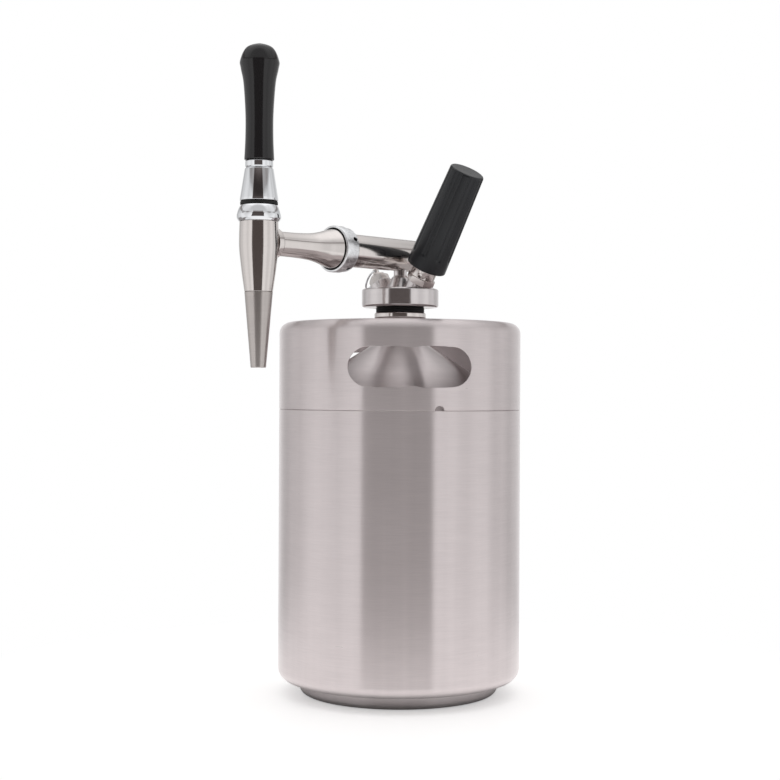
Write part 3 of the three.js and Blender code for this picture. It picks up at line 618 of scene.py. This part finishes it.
def show(make, axis):
    """Makes a finished shape and puts it in the place of its CAD node, on the node's body and in
    its material."""
    node = make.__name__
    obj = make(*reach(node, axis))
    obj.name = node + "_finished"
    obj.data.name = obj.name
    obj.data.materials.clear()
    obj.data.materials.append(MATERIALS[OWN_FINISH.get(node, SLOTS[node])])
    obj.data.shade_smooth()
    obj.data.set_sharp_from_angle(angle=CREASE)
    obj.matrix_world = axis
    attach(obj, frame["nodes"][node]["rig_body"])
    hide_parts(node)
    return obj


# ---- keg ----

HOLE_HALF_SIZE = (40.3, 13)
HOLE_BELOW_TOP = 31.5
HOLE_AZIMUTHS = (-40, 140)
NOTCH_RADIUS = 3.2
NOTCH_AZIMUTHS = (-27, 153)


def vessel_shell(start, seam, radius):
    floor = reach("foot_ring", KEG).end + WELD_GAP
    dish_radius = 62
    corner = 8

    def dish(lift, steps=20):
        shares = [step / steps for step in range(steps + 1)]
        return [(dish_radius * s, floor + lift - (floor - start) * (1 - s * s)) for s in shares]

    return turned([
        *dish(0), (radius, floor, corner), (radius, seam, 0.45), (radius - SHEET, seam),
        (radius - SHEET, floor + SHEET, corner - SHEET), *reversed(dish(SHEET)),
    ], WIDE)


def vessel_head(low, high, rim):
    """A shallow cone whose turned-down rim fits inside the shell."""
    seam = reach("vessel_shell", KEG).end
    hole = reach("neck_bush", KEG).radius - NECK_LIP + WELD_GAP
    knee = (46.7, 224.5)
    drop = 1.4  # the sheet's thickness, measured upright on the slope
    return turned([
        (rim, low), (rim, seam, 1.5), (*knee, 60), (hole, high), (hole, high - drop),
        (knee[0], knee[1] - drop, 60), (rim - SHEET, seam - drop / 2), (rim - SHEET, low),
    ], WIDE)


def slot_outline(half_width, half_height, steps=20):
    """A slot with half-round ends, as (across, up) points round its middle."""
    straight = half_width - half_height
    points = []
    for side, first in ((1, -QUARTER), (-1, QUARTER)):
        for step in range(steps + 1):
            angle = first + pi * step / steps
            points.append((side * straight + half_height * cos(angle), half_height * sin(angle)))
    return points


def sheet_cutter(half_width, half_height, radius, height, azimuth, edge):
    """Cuts a slot through a round wall and rounds its edges on both faces of the sheet."""
    inner = radius - SHEET
    angles = [radians(12 + 78 * step / 5) for step in range(6)]
    arc = [(edge * (1 - cos(angle)), edge * (1 - sin(angle))) for angle in angles]
    outside = [(radius - depth, grow) for depth, grow in arc]
    inside = [(inner + depth, grow) for depth, grow in reversed(arc)]
    rims = [(radius + 4, edge * 1.4), *outside, *inside, (inner - 4, edge * 1.4)]
    vertices, loops, faces = [], [], []
    for out, grow in rims:
        points = slot_outline(half_width + grow, half_height + grow)
        loops.append(range(len(vertices), len(vertices) + len(points)))
        vertices += [(x, -sqrt(out * out - x * x), y) for x, y in points]
    count = len(loops[0])
    for outer, deeper in zip(loops, loops[1:]):
        faces += [(outer[k], outer[(k + 1) % count], deeper[(k + 1) % count], deeper[k])
                  for k in range(count)]
    for loop, out, flip in ((loops[0], rims[0][0], True), (loops[-1], rims[-1][0], False)):
        vertices.append((0, -out, 0))
        fan = [(loop[k], loop[(k + 1) % count], len(vertices) - 1) for k in range(count)]
        faces += [face[::-1] for face in fan] if flip else fan
    uvs = [[(vertices[v][0] * MM, vertices[v][2] * MM) for v in face] for face in faces]
    obj = faces_outward(new_object("cutter", vertices, faces, uvs))
    return moved(obj, turn(radians(azimuth + 90)) @ shift(z=height))


def top_skirt(start, top, radius):
    opening = 60
    lip = 7
    corner = 7.5
    fold = 3
    inside = radius - SHEET
    wall = turned([
        (radius, start, 0.45), (radius, top, corner), (opening, top, fold), (opening, top - lip, 0.3),
        (opening + SHEET, top - lip, 0.3), (opening + SHEET, top - SHEET, fold - SHEET),
        (inside, top - SHEET, corner - SHEET), (inside, start),
    ], WIDE)
    holes = [sheet_cutter(*HOLE_HALF_SIZE, radius, top - HOLE_BELOW_TOP, azimuth, 0.42)
             for azimuth in HOLE_AZIMUTHS]
    notches = [sheet_cutter(NOTCH_RADIUS + TINY, NOTCH_RADIUS, radius, start, azimuth, 0.3)
               for azimuth in NOTCH_AZIMUTHS]
    return cut(wall, *holes, *notches)


def foot_ring(bottom, top, radius):
    """A pressed channel, open upwards, whose flat web stands on the table."""
    inner = 58
    return turned([
        (inner, bottom, 1.5), (radius - 1.6, bottom, 4.5), (radius, top), (radius - SHEET, top),
        (radius - 2.8, SHEET, 3.3), (inner + SHEET, SHEET), (inner + SHEET, 5, 0.4), (inner, 5, 0.4),
    ], WIDE)


def neck_bush(bottom, top, lip):
    neck = lip - NECK_LIP
    bore = NECK_BORE
    thread = (bore, top - 2, bottom + 2, PLUG_PITCH)
    bush = turned([
        (neck, bottom, 0.4), (neck, top - 4.9, 0.6), (lip, top - 3.4, 0.5), (lip, top, 1.1),
        (bore + 0.2, top, 0.3), (bore, top - 0.6), *rows(*thread), (bore, bottom),
    ])
    return press_thread(bush, *thread, -0.8)


# ---- tap base ----

GAS_BORE = 8
SPIGOT_LENGTH = 8  # the threaded ends of the fittings, below where they sit
SPIGOT_RADIUS = 4.9
GAS_DRILL = 1.6
CHARGER_SEAT = reach("port_fitting", CHARGER).start + SPIGOT_LENGTH
RELIEF_SEAT = reach("relief_body", RELIEF).start + SPIGOT_LENGTH


def tap_base(bottom, top, _):
    flange_bottom = reach("neck_seal", KEG).end + WELD_GAP
    flange_top = flange_bottom + 12.8
    flange = 26.8
    edge = 1.5
    plug = NECK_BORE - 0.4
    tube = reach("dip_tube", KEG)
    socket = tube.radius + THREAD_GAP
    stem = 4.6
    stem_bore = 3.4
    cone_top = flange_top + 7.7
    groove = bottom + 3
    groove_top = groove + 2.4
    thread = (plug, groove_top + 1, flange_bottom - 1, PLUG_PITCH)
    body = turned([
        (plug, bottom, 0.5), (plug, groove, 0.2), (plug - 1.8, groove, 0.2),
        (plug - 1.8, groove_top, 0.2), (plug, groove_top, 0.2), *rows(*thread), (plug, flange_bottom),
        (flange, flange_bottom, edge), (flange, flange_top, edge), (10.2, flange_top, 0.5),
        (6.3, cone_top, 0.6), (stem, cone_top + 1.6, 0.8), (stem, top), (stem_bore, top),
        (stem_bore, tube.end + 2), (socket, tube.end + 2), (socket, flange_bottom + 2),
        (GAS_BORE, flange_bottom + 2, 0.5), (GAS_BORE, bottom, 0.5),
    ])
    press_thread(body, *thread, 0.95)
    boss_radius = 8.2
    buried = 25  # the bosses start inside the flange
    bosses, drillings = [], []

    def drill(radius, start, end, axis, segments=SMALL):
        drillings.append(moved(rod(radius, start, end, segments), KEG.inverted() @ axis))

    for axis, seat in ((CHARGER, CHARGER_SEAT), (RELIEF, RELIEF_SEAT)):
        end = seat - WELD_GAP
        boss = turned([(0, buried), (boss_radius, buried), (boss_radius, end, 0.5), (0, end)])
        bosses.append(moved(boss, KEG.inverted() @ axis))
        drill(SPIGOT_RADIUS + THREAD_GAP, seat - SPIGOT_LENGTH - 0.5, seat + 1, axis)
        drill(GAS_DRILL, 13, seat, axis)
    drill(reach("shank_tube", SHANK).radius + WELD_GAP, -flange, flange, SHANK, MEDIUM)
    return cut(join(body, *bosses), *drillings)


def neck_seal(start, end, outer):
    inner = NECK_BORE + 0.1
    middle = (start + end) / 2
    return turned([
        (inner, start, 0.4), (outer - 0.1, start, 0.7), (outer, middle - 0.3, 0.3),
        (outer - 0.35, middle), (outer, middle + 0.3, 0.3), (outer - 0.1, end, 0.7), (inner, end, 0.4),
    ])


def plug_seal(*span):
    return round_seal(*span)


def dip_tube(start, end, outer):
    tube = ring(outer - 0.9, outer, start, end, 0.25, SMALL)
    notch = moved(block(12, 6, 6), turn(radians(45), "Y"))
    return cut(tube, moved(notch, shift(z=start - 2.2)))


# ---- shank, its nut and the washer in front of it ----

FAUCET_THREAD = 13.2


def shank_tube(rear, end, outer):
    bore = 7.9
    groove = end - 3
    groove_end = groove + 1.6
    groove_radius = outer - 0.8
    tube = turned([
        (0, rear), (outer, rear, 2.5), (outer, groove, 0.15), (groove_radius, groove),
        (groove_radius, groove_end), (outer, groove_end, 0.15), (outer, end, 0.5), (bore, end, 0.5),
        (bore, rear + 3), (0, rear + 3),
    ])
    return cut(tube, moved(rod(3.4, 0, 15), turn(QUARTER, "X")))


def retaining_ring(start, end, outer):
    clip = ring(outer - 2.4, outer, start, end, 0.3)
    return cut(clip, block(3, 6, 6, (0, outer - 1.4, (start + end) / 2)))


def coupling_nut(start, end, outer):
    lip = reach("shank_tube", SHANK).radius + 0.3
    lip_end = start + 3
    bore = FAUCET_THREAD + THREAD_GAP
    shoulder = start + 5.2
    thread = (bore, end - 1.2, lip_end + 1, FINE_PITCH)
    body = turned([
        (lip, start, 0.3), (outer - 0.8, start, 1), (outer - 0.8, shoulder, 0.2),
        (outer, shoulder + 0.2, 0.2), (outer, end, 0.9), (bore + 0.4, end, 0.3), (bore, end - 0.8),
        *rows(*thread), (bore, lip_end), (lip, lip_end),
    ])
    press_thread(body, *thread, -0.5)

    def spanner_hole():
        hole = turned([(0, outer - 2.6), (1.6, outer - 2.6), (1.6, outer - 1.1), (1.9, outer - 0.7),
                       (1.9, outer + 2), (0, outer + 2)], 40)
        return moved(hole, shift(z=start + 2.7) @ turn(QUARTER, "Y"))

    return cut(body, *around(4, spanner_hole, radians(25)))


def shank_washer(start, end, outer):
    return ring(7.9, outer, start, end, 0.3)


def valve_shaft(start, end, radius):
    """A rod with a block at its front, which is slotted for the lever's finger."""
    block_start = REACH_OUT - 7.5
    rod_radius = 2.4
    thread = (rod_radius, start + 0.6, start + 4, 0.7)
    shaft = turned([
        (0, start), (rod_radius, start, 0.4), *rows(*thread), (rod_radius, block_start),
        (radius, block_start, 0.6), (radius, end, 0.6), (0, end),
    ], SMALL)
    press_thread(shaft, *thread, 0.3)
    return cut(shaft, block(5.6, 10, 7.6, (0, 1.8, REACH_OUT + 1)))


def valve_washer(start, end, outer):
    return ring(2.6, outer, start, end, 0.5, SMALL)


def valve_nut(start, end, _):
    return cut(hexagon(7, start, end, 0.5), rod(2.6, start - 1, end + 1))


# ---- faucet ----


def faucet_body(start, top, _):
    body_top = reach("bonnet", FAUCET).start - WELD_GAP
    neck = 10.6
    socket = 7.7
    socket_top = start + 7.3
    outlet = 6.6
    chamber = 9
    chamber_bottom = SHANK_Z / MM - 7.2
    recess = 9.6
    thread = (neck, body_top + 0.5, top - 0.4, 1)
    side = smooth([(9.2, start + 0.6), (11, 285.4), (12.5, 298.6), (12.7, 306.4), (12.45, body_top - 0.4)])
    upright = turned([
        (0, start), (9.15, start, 0.25), *side[:-1], (12.45, body_top, 0.3), (neck, body_top),
        *rows(*thread), (neck, top, 0.3), (0, top),
    ])
    press_thread(upright, *thread, 0.45)
    inside = turned([
        (0, start - 1), (socket, start - 1), (socket, socket_top), (outlet, socket_top),
        (outlet, chamber_bottom - 4), (chamber, chamber_bottom), (chamber, BALL - 9.2),
        (7.2, BALL - 7.2), (recess, BALL - 5.4), (recess, top + 1), (0, top + 1),
    ])
    return cut(join(upright, faucet_arm()), faucet_bore(), inside)


def along_arm(obj):
    """Moves a shape that runs from the upright axis back towards the keg into the faucet's frame."""
    return moved(obj, shift(z=SHANK_Z / MM) @ turn(-QUARTER, "X"))


def faucet_arm():
    """The trumpet that runs back from the upright axis to the thread in the coupling nut."""
    rear = REACH_OUT - (reach("shank_washer", SHANK).end + WELD_GAP)
    shoulder = rear - 4
    thread = (FAUCET_THREAD, shoulder + 0.3, rear - 0.6, FINE_PITCH)
    trumpet = smooth([(8, 15), (8.15, 30), (8.9, 43), (10.3, 51), (11.9, 57), (13.3, shoulder - 0.3)])
    arm = turned([
        (0, 9.5), (9.9, 9.5), (9.9, 13.6, 1), *trumpet, (FAUCET_THREAD, shoulder), *rows(*thread),
        (FAUCET_THREAD, rear, 0.3), (0, rear),
    ])
    return along_arm(press_thread(arm, *thread, 0.6))


def faucet_bore():
    """The passage through the arm, with the room in which the valve's washer moves."""
    rear = REACH_OUT - reach("shank_washer", SHANK).end + 1
    seat = REACH_OUT - (reach("valve_washer", SHANK).end + WELD_GAP)
    passage = 6
    room = 8.8
    return along_arm(turned([
        (0, -6.5), (passage, -6.5), (passage, seat), (room, seat), (room, rear), (0, rear),
    ]))


def nozzle(bottom, shank_top, outer):
    top = reach("faucet_body", FAUCET).start - WELD_GAP
    disc = reach("restrictor_disc", FAUCET)
    ledge = disc.start - 0.2
    bore = disc.radius + 0.2
    shank = 7.5
    tip = 4.9
    wall = 1.2
    return turned([
        (tip - wall, bottom, 0.3), (tip, bottom, 0.4), (outer, top, 0.35), (shank, top),
        (shank, shank_top, 0.3), (bore, shank_top, 0.3), (bore, ledge), (5.4, ledge),
    ])


def restrictor_disc(start, end, outer):
    disc = rod(outer, start, end, SMALL, 0.2)

    def jet():
        return moved(rod(0.5, start - 1, end + 1, 24), shift(x=2.5))

    return cut(disc, *around(5, jet))


def flow_straightener(start, end, outer):
    inner = 3.4
    across = 2 * inner + 0.4
    length = end - start - 2
    middle = (0, 0, (start + end) / 2)
    tube = turned([(inner, start), (4.3, start, 0.3), (outer, end, 0.3), (inner, end)], SMALL)
    return join(tube, block(0.7, across, length, middle), block(across, 0.7, length, middle))


def bonnet(bottom, top, radius):
    """A bulging cap with six round spanner flats. Its upper part is a sphere round the ball's
    centre, so that the lever's ring slides on it."""
    sphere = radius / cos(radians(9))
    bore = 10.8
    ledge = BALL + 5.8
    thread = (bore, BALL + 2.8, bottom + 0.8, 1)
    dome = ball_arc(BALL, sphere, radians(9), asin((top - BALL) / sphere))
    cap = turned([
        (bore, bottom, 0.2), (12.9, bottom, 0.3), (radius - 0.35, BALL, 2.5), *dome, (9.4, top, 0.3),
        (7.6, ledge), (bore, ledge), *rows(*thread),
    ])
    press_thread(cap, *thread, -0.35)

    def flat():
        face = sphere - 0.55
        tool = rod(8, face, sphere + 1)
        return moved(tool, shift(z=BALL) @ turn(radians(90 - 16), "Y"))

    return cut(cap, *around(6, flat, radians(-11.5)))


def friction_washer(start, end, outer):
    return turned([(6.95, start, 0.2), (outer, start, 0.3), (outer, end, 0.3), (7.4, end, 0.2)])


def ball_seal(*span):
    return round_seal(*span)


# ---- lever ----

STUD = 3.2
STUD_BORE = STUD + THREAD_GAP
SLIDE = reach("bonnet", FAUCET).radius + 0.25  # the hollow that slides over the bonnet


def lever_rod(bottom, top, _):
    """A stud with a ball at its foot and a finger under the ball."""
    tip = 2.4
    finger = 2
    ball = 7
    return turned([
        (0, bottom), *ball_arc(bottom + tip, tip, -1.4, acos(finger / tip), 12),
        *ball_arc(BALL, ball, -acos(finger / ball), acos(STUD / ball), 32),
        (STUD, BALL + 12), (STUD, top, 0.5), (0, top),
    ], SMALL)


def ferrule_ring(start, end, outer):
    low = asin((start - BALL) / SLIDE)
    high = asin((end - BALL) / SLIDE)
    return turned([(outer, start, 0.3), (outer, end, 0.4), *ball_arc(BALL, SLIDE, high, low, 8)])


def ferrule(start, end, outer):
    """A cone whose underside is hollowed to a sphere round the ball's centre, clear of the bonnet."""
    top = 9.2
    high = acos(STUD_BORE / SLIDE)
    low = asin((start - BALL) / SLIDE)
    return turned([
        *ball_arc(BALL, SLIDE, high, low), (outer - 0.9, start, 0.2), (outer, start + 0.5, 0.4),
        (outer - 0.12, start + 2, 0.6), (top + 0.05, end - 0.6, 0.5), (top - 0.5, end, 0.25),
        (STUD_BORE, end),
    ])


def handle_ring(start, end, outer):
    return turned([
        (STUD_BORE, start), (outer - 0.6, start, 0.3), (outer, start + 0.9, 0.8),
        (outer, end - 0.9, 0.8), (outer - 0.6, end, 0.3), (STUD_BORE, end),
    ])


def handle(bottom, top, _):
    socket_top = reach("lever_rod", FAUCET).end + 2
    side = smooth([
        (9.6, bottom + 0.5), (9, bottom + 13.7), (9, bottom + 29.7), (10.3, bottom + 49.1),
        (12.1, bottom + 58.5), (12.5, top - 11.3), (8.6, top - 3.3), (0, top),
    ], 84)
    return turned([
        (0, socket_top), (STUD_BORE, socket_top), (STUD_BORE, bottom), (9.1, bottom), *side[:-1],
        (0, top),
    ])


# ---- gas port ----

HOLDER_PITCH = 1.5


def port_fitting(foot, *_):
    """A hexagon under a collar with a vent, and the thread that takes the holder."""
    seat = CHARGER_SEAT
    hex_top = seat + 4.4
    collar_top = seat + 11
    thread_top = seat + 22
    stem = 8.3
    collar = 8.8
    thread = (stem, collar_top + 0.6, thread_top - 0.8, HOLDER_PITCH)
    turned_part = turned([
        (0, foot), (SPIGOT_RADIUS, foot, 0.4), (SPIGOT_RADIUS, seat + 0.1), (stem, seat + 0.1),
        (stem, hex_top - 0.2), (collar, hex_top + 0.3, 0.2), (collar, collar_top, 0.9),
        (stem, collar_top), *rows(*thread), (stem, thread_top, 0.6), (0, thread_top),
    ])
    press_thread(turned_part, *thread, 0.6)
    body = join(hexagon(17.4, seat, hex_top, 0.8), turned_part)
    socket = rod(4.8, seat + 7.8, thread_top + 1)
    gas_way = rod(GAS_DRILL, foot - 1, seat + 8, 32)
    vent = turned([(0, 6.5), (1.5, 6.5), (1.5, 8.45), (1.9, 8.9), (1.9, 10), (0, 10)], 32)
    vent_place = shift(z=hex_top + 2.4) @ turn(radians(-60)) @ turn(QUARTER, "Y")
    return cut(body, socket, gas_way, moved(vent, vent_place))


def piercing_pin(start, end, outer):
    pin = turned([
        (0, start), (outer, start, 0.2), (outer, start + 2, 0.3), (0.8, start + 2), (0.8, end - 1),
        (0, end),
    ], SMALL)
    return cut(pin, moved(rod(0.8, start - 1, start + 3, 24), shift(x=2.4)))


def pin_gasket(start, end, outer):
    return ring(1.5, outer, start, end, 0.5, SMALL)


def gas_cartridge(start, end, radius):
    neck = 4.2
    wall = 1.2
    pierced = 1.1
    shoulder = start + 9.5
    return turned([
        (0, end - wall), (radius - wall, end - wall, 6), (radius - wall, shoulder + 6.5, 3),
        (neck - wall, shoulder), (neck - wall, start + wall), (pierced, start + wall),
        (pierced, start), (neck, start, 0.4), (neck, shoulder, 2), (radius, shoulder + 5.5, 4),
        (radius, end, 7), (0, end),
    ])


def charger_holder(start, end, rim):
    """A cup that narrows towards its closed end, with flutes that follow its taper."""
    tip = rim - 1.9
    taper = (rim - tip) / (end - start)
    floor = reach("gas_cartridge", CHARGER).end + 0.6
    bore = 9.9
    screw = 9
    screw_end = start + 8
    thread = (screw, screw_end - 1, start + 1.5, HOLDER_PITCH)
    cup = turned([
        (0, floor), (bore, floor), (bore, screw_end + 1), (screw, screw_end), *rows(*thread),
        (screw, start, 0.5), (rim, start, 0.8), (tip, end, 1.5), (tip - 3.2, end, 2), (0, end - 0.5),
    ], 192)
    press_thread(cup, *thread, -0.5)

    def flute():
        radius = 4
        depth = 0.8
        low = 8
        bit = turned([(0, 0), (radius, 0, 3.4), (radius, end - start), (0, end - start)], 96)
        place = shift(x=rim - taper * low + radius - depth, z=start + low)
        return moved(bit, place @ turn(-atan(taper), "Y"))

    return cut(cup, *around(8, flute, pi / 8))


# ---- relief valve ----


def relief_body(start, end, _):
    seat = RELIEF_SEAT
    spigot = rod(SPIGOT_RADIUS, start, seat + 0.1)
    bore = turned([
        (0, start - 1), (2, start - 1), (2, seat - 5), (3.9, seat - 5), (3.9, end + 1), (0, end + 1),
    ], SMALL)
    return cut(join(hexagon(13, seat, end, 0.9), spigot), bore)


def relief_cap(start, end, outer):
    head = start + 1.6
    return turned([
        (1.8, start), (3.7, start, 0.3), (3.7, head), (outer, head, 0.3), (outer, end, 0.6),
        (1.8, end, 0.3),
    ])


def relief_seal(start, end, outer):
    return ring(0.9, outer, start, end, 0.25, SMALL)


def relief_stem(start, end, outer):
    foot = start + 1.2
    head = end - 3.4
    stem = turned([
        (0, start), (0.7, start), (0.7, foot), (outer, foot, 0.2), (outer, foot + 1.4, 0.2),
        (1.5, foot + 1.4), (1.5, head - 0.6), (2.3, head, 0.3), (2.3, end, 0.9), (0, end),
    ], SMALL)
    hole = moved(rod(1.25, -4, 4, 32), turn(RING_TURN) @ turn(QUARTER, "X"))
    return cut(stem, moved(hole, shift(z=RING_HOLE)))


def relief_spring(start, end, outer):
    wire = 0.35
    return coil(outer - wire, wire, 4, start + wire, end - wire)


def squeeze_spring(spring):
    """Gives the spring a mesh of its own."""
    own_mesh(spring)


def pull_ring(*_):
    """A split ring wound twice, hanging through the stem's hole and leaning on the hexagon."""
    radius = 6.8
    lean = radians(52)
    wound = coil(radius, 0.45, 1.96, -0.36, 0.36)
    place = shift(z=RING_HOLE) @ turn(RING_TURN)
    place @= shift(-radius * sin(lean), 0, -radius * cos(lean)) @ turn(lean - QUARTER, "Y")
    return moved(wound, place)


# ---- studio ----

CAMERA = {"azimuth": radians(45), "distance": 1.049, "height": 0.2086, "lens": 69.2,
          "roll": radians(0.27), "shift": (-0.0125, 0.0026)}
BACKWARDS = Vector((sin(CAMERA["azimuth"]), -cos(CAMERA["azimuth"]), 0))
RIGHTWARDS = Vector((cos(CAMERA["azimuth"]), sin(CAMERA["azimuth"]), 0))


def build_camera():
    data = bpy.data.cameras.new("camera")
    data.lens = CAMERA["lens"]
    data.shift_x, data.shift_y = CAMERA["shift"]
    camera = in_scene("camera", data)
    place = Vector((0, KEG_Y, CAMERA["height"])) + BACKWARDS * CAMERA["distance"]
    look = (-BACKWARDS).to_track_quat("-Z", "Y").to_matrix().to_4x4()
    camera.matrix_world = Matrix.Translation(place) @ look @ turn(CAMERA["roll"])
    bpy.context.scene.camera = camera


# Brightness of the studio round the object, by the angle in degrees from the camera's side; angles
# to the right are positive. Two soft boxes flank a dark gap that the camera stands in.
STUDIO_ROUND = [
    (-180, 0.87), (-160, 0.83), (-148, 0.63), (-135, 0.52), (-121, 0.73), (-106, 0.77), (-95, 0.9),
    (-82, 0.93), (-73, 0.9), (-63, 0.79), (-54, 0.9), (-45, 0.97), (-36, 0.97), (-34.5, 0.09),
    (31, 0.09), (32.5, 0.96), (43, 0.97), (51, 0.95), (60, 0.8), (69, 0.82), (79, 0.93), (89, 0.95),
    (100, 0.74), (113, 0.81), (128, 0.61), (148, 0.7), (162, 0.83), (180, 0.87),
]

# How that brightness changes with height, by the sine of the height angle: a dark strip above and
# one below the level of the object.
STUDIO_UP = [
    (-1, 0.9), (-0.68, 0.9), (-0.65, 0.3), (-0.56, 0.3), (-0.53, 1.0), (-0.2, 1.0), (0.2, 1.0),
    (0.4, 0.85), (0.43, 0.4), (0.5, 0.4), (0.53, 0.85), (1, 1.0),
]


def graded(nodes, value, width, stops):
    """The level at a place between -width / 2 and width / 2, along a list of (place, level) from
    one side to the other."""
    share = nodes.math("ADD", nodes.math("DIVIDE", value, width), 0.5)
    made = nodes.node("ValToRGB", Fac=share)
    ramp = made.color_ramp
    full = max(level for _, level in stops)
    ramp.elements[0].position = 0
    ramp.elements[1].position = 1
    for place, _ in stops[1:-1]:
        ramp.elements.new(place / stops[-1][0] / 2 + 0.5)
    for element, (_, level) in zip(ramp.elements, stops):
        element.color = (level / full,) * 3 + (1,)
    return nodes.math("MULTIPLY", made.outputs["Color"], full)


def build_world():
    world = bpy.data.worlds.new("studio")
    bpy.context.scene.world = world
    world.use_nodes = True
    world.node_tree.nodes.clear()
    nodes = Nodes(world.node_tree)

    def blend(value, low, high):
        return nodes.remap(value, low, high, curve="SMOOTHSTEP")

    direction = nodes.node("TexCoord").outputs["Generated"]
    towards = nodes.vector_math("DOT_PRODUCT", direction, BACKWARDS)
    rightwards = nodes.vector_math("DOT_PRODUCT", direction, RIGHTWARDS)
    upwards = nodes.vector_math("DOT_PRODUCT", direction, (0, 0, 1))
    walls = graded(nodes, nodes.math("ARCTAN2", rightwards, towards), FULL_TURN, STUDIO_ROUND)
    wall_level = nodes.math("MULTIPLY", walls, graded(nodes, upwards, 2, STUDIO_UP))
    facing = blend(towards, 0.15, 0.45)
    ceiling = nodes.level(facing, 1.2, 0.6)
    from_height = nodes.level(facing, 0.62, 0.45)
    to_height = nodes.level(facing, 0.92, 0.65)
    with_ceiling = nodes.level(blend(upwards, from_height, to_height), wall_level, ceiling)
    front_ground = nodes.level(facing, wall_level, 1.0)
    with_front = nodes.level(blend(upwards, -0.32, -0.45), with_ceiling, front_ground)
    behind = nodes.math("MULTIPLY", blend(towards, -0.1, -0.4), blend(upwards, -0.15, -0.3))
    with_ground = nodes.level(behind, with_front, 0.3)
    strength = nodes.level(nodes.seen_by_camera(), with_ground, 1.0)
    tint = nodes.mix(blend(strength, 0.05, 0.5), (1, 0.84, 0.8, 1), (1, 1, 1, 1))
    background = nodes.node("Background", Color=tint, Strength=strength).outputs[0]
    nodes.node("OutputWorld", Surface=background)


def build_floor():
    """A pale floor that fades into the white backdrop and can't be seen from below. Metal sees a painted
    glow in its place, with a painted shadow pool under the keg."""
    radius = 2.4 / MM
    sides = 96
    rim = [turn(FULL_TURN * k / sides) @ Vector((radius, 0, 0)) for k in range(sides)]
    floor = new_object("floor", rim, [range(sides)], [[(0, 0)] * sides])
    floor.location = (0, KEG_Y, -0.0003)
    look = Finish("floor")

    def glow(color, strength):
        return look.node("Emission", Color=color, Strength=strength).outputs[0]

    grain = look.spots(25, 3)
    look.surface(look.mix(grain, (0.86, 0.855, 0.85, 1), (0.89, 0.885, 0.88, 1)), 0.55,
                 Specular_IOR_Level=0.2, Emission_Color=(1, 1, 1, 1), Emission_Strength=0.42)
    distance = look.vector_math("LENGTH", look.place)
    clear = look.node("BsdfTransparent").outputs[0]
    faded = look.remap(distance, 0.18, 0.34)
    shown = look.layer(faded, look.shader.outputs[0], glow((1, 1, 1, 1), 1.0))
    # Painted light for reflections: a glow that drops to a painted shadow pool within 8 cm of the keg's
    # axis.
    painted_glow_with_shadow = glow((1, 0.985, 0.98, 1), look.remap(distance, 0.08, 0.088, 0.06, 1.1))
    reflected = look.layer(look.remap(distance, 0.2, 0.34), painted_glow_with_shadow, clear)
    above = look.layer(look.seen_by_camera(), reflected, shown)
    below = look.node("NewGeometry").outputs["Backfacing"]
    output = look.tree.nodes["Material Output"]
    look.put(output.inputs["Surface"], look.layer(below, above, clear))
    floor.data.materials.append(MATERIALS["floor"])


ASSEMBLY = (
    (KEG, (vessel_shell, vessel_head, top_skirt, foot_ring, neck_bush,
           tap_base, neck_seal, plug_seal, dip_tube)),
    (SHANK, (shank_tube, retaining_ring, coupling_nut, shank_washer,
             valve_shaft, valve_washer, valve_nut)),
    (FAUCET, (faucet_body, nozzle, restrictor_disc, flow_straightener, bonnet, friction_washer,
              ball_seal, lever_rod, ferrule_ring, ferrule, handle_ring, handle)),
    (CHARGER, (port_fitting, piercing_pin, pin_gasket, gas_cartridge, charger_holder)),
    (RELIEF, (relief_body, relief_cap, relief_seal, relief_stem, relief_spring, pull_ring)),
)

finished = {make: show(make, axis) for axis, makes in ASSEMBLY for make in makes}
squeeze_spring(finished[relief_spring])
build_camera()
build_world()
build_floor()

bpy.context.scene.view_settings.view_transform = "Standard"
bpy.context.view_layer.update()
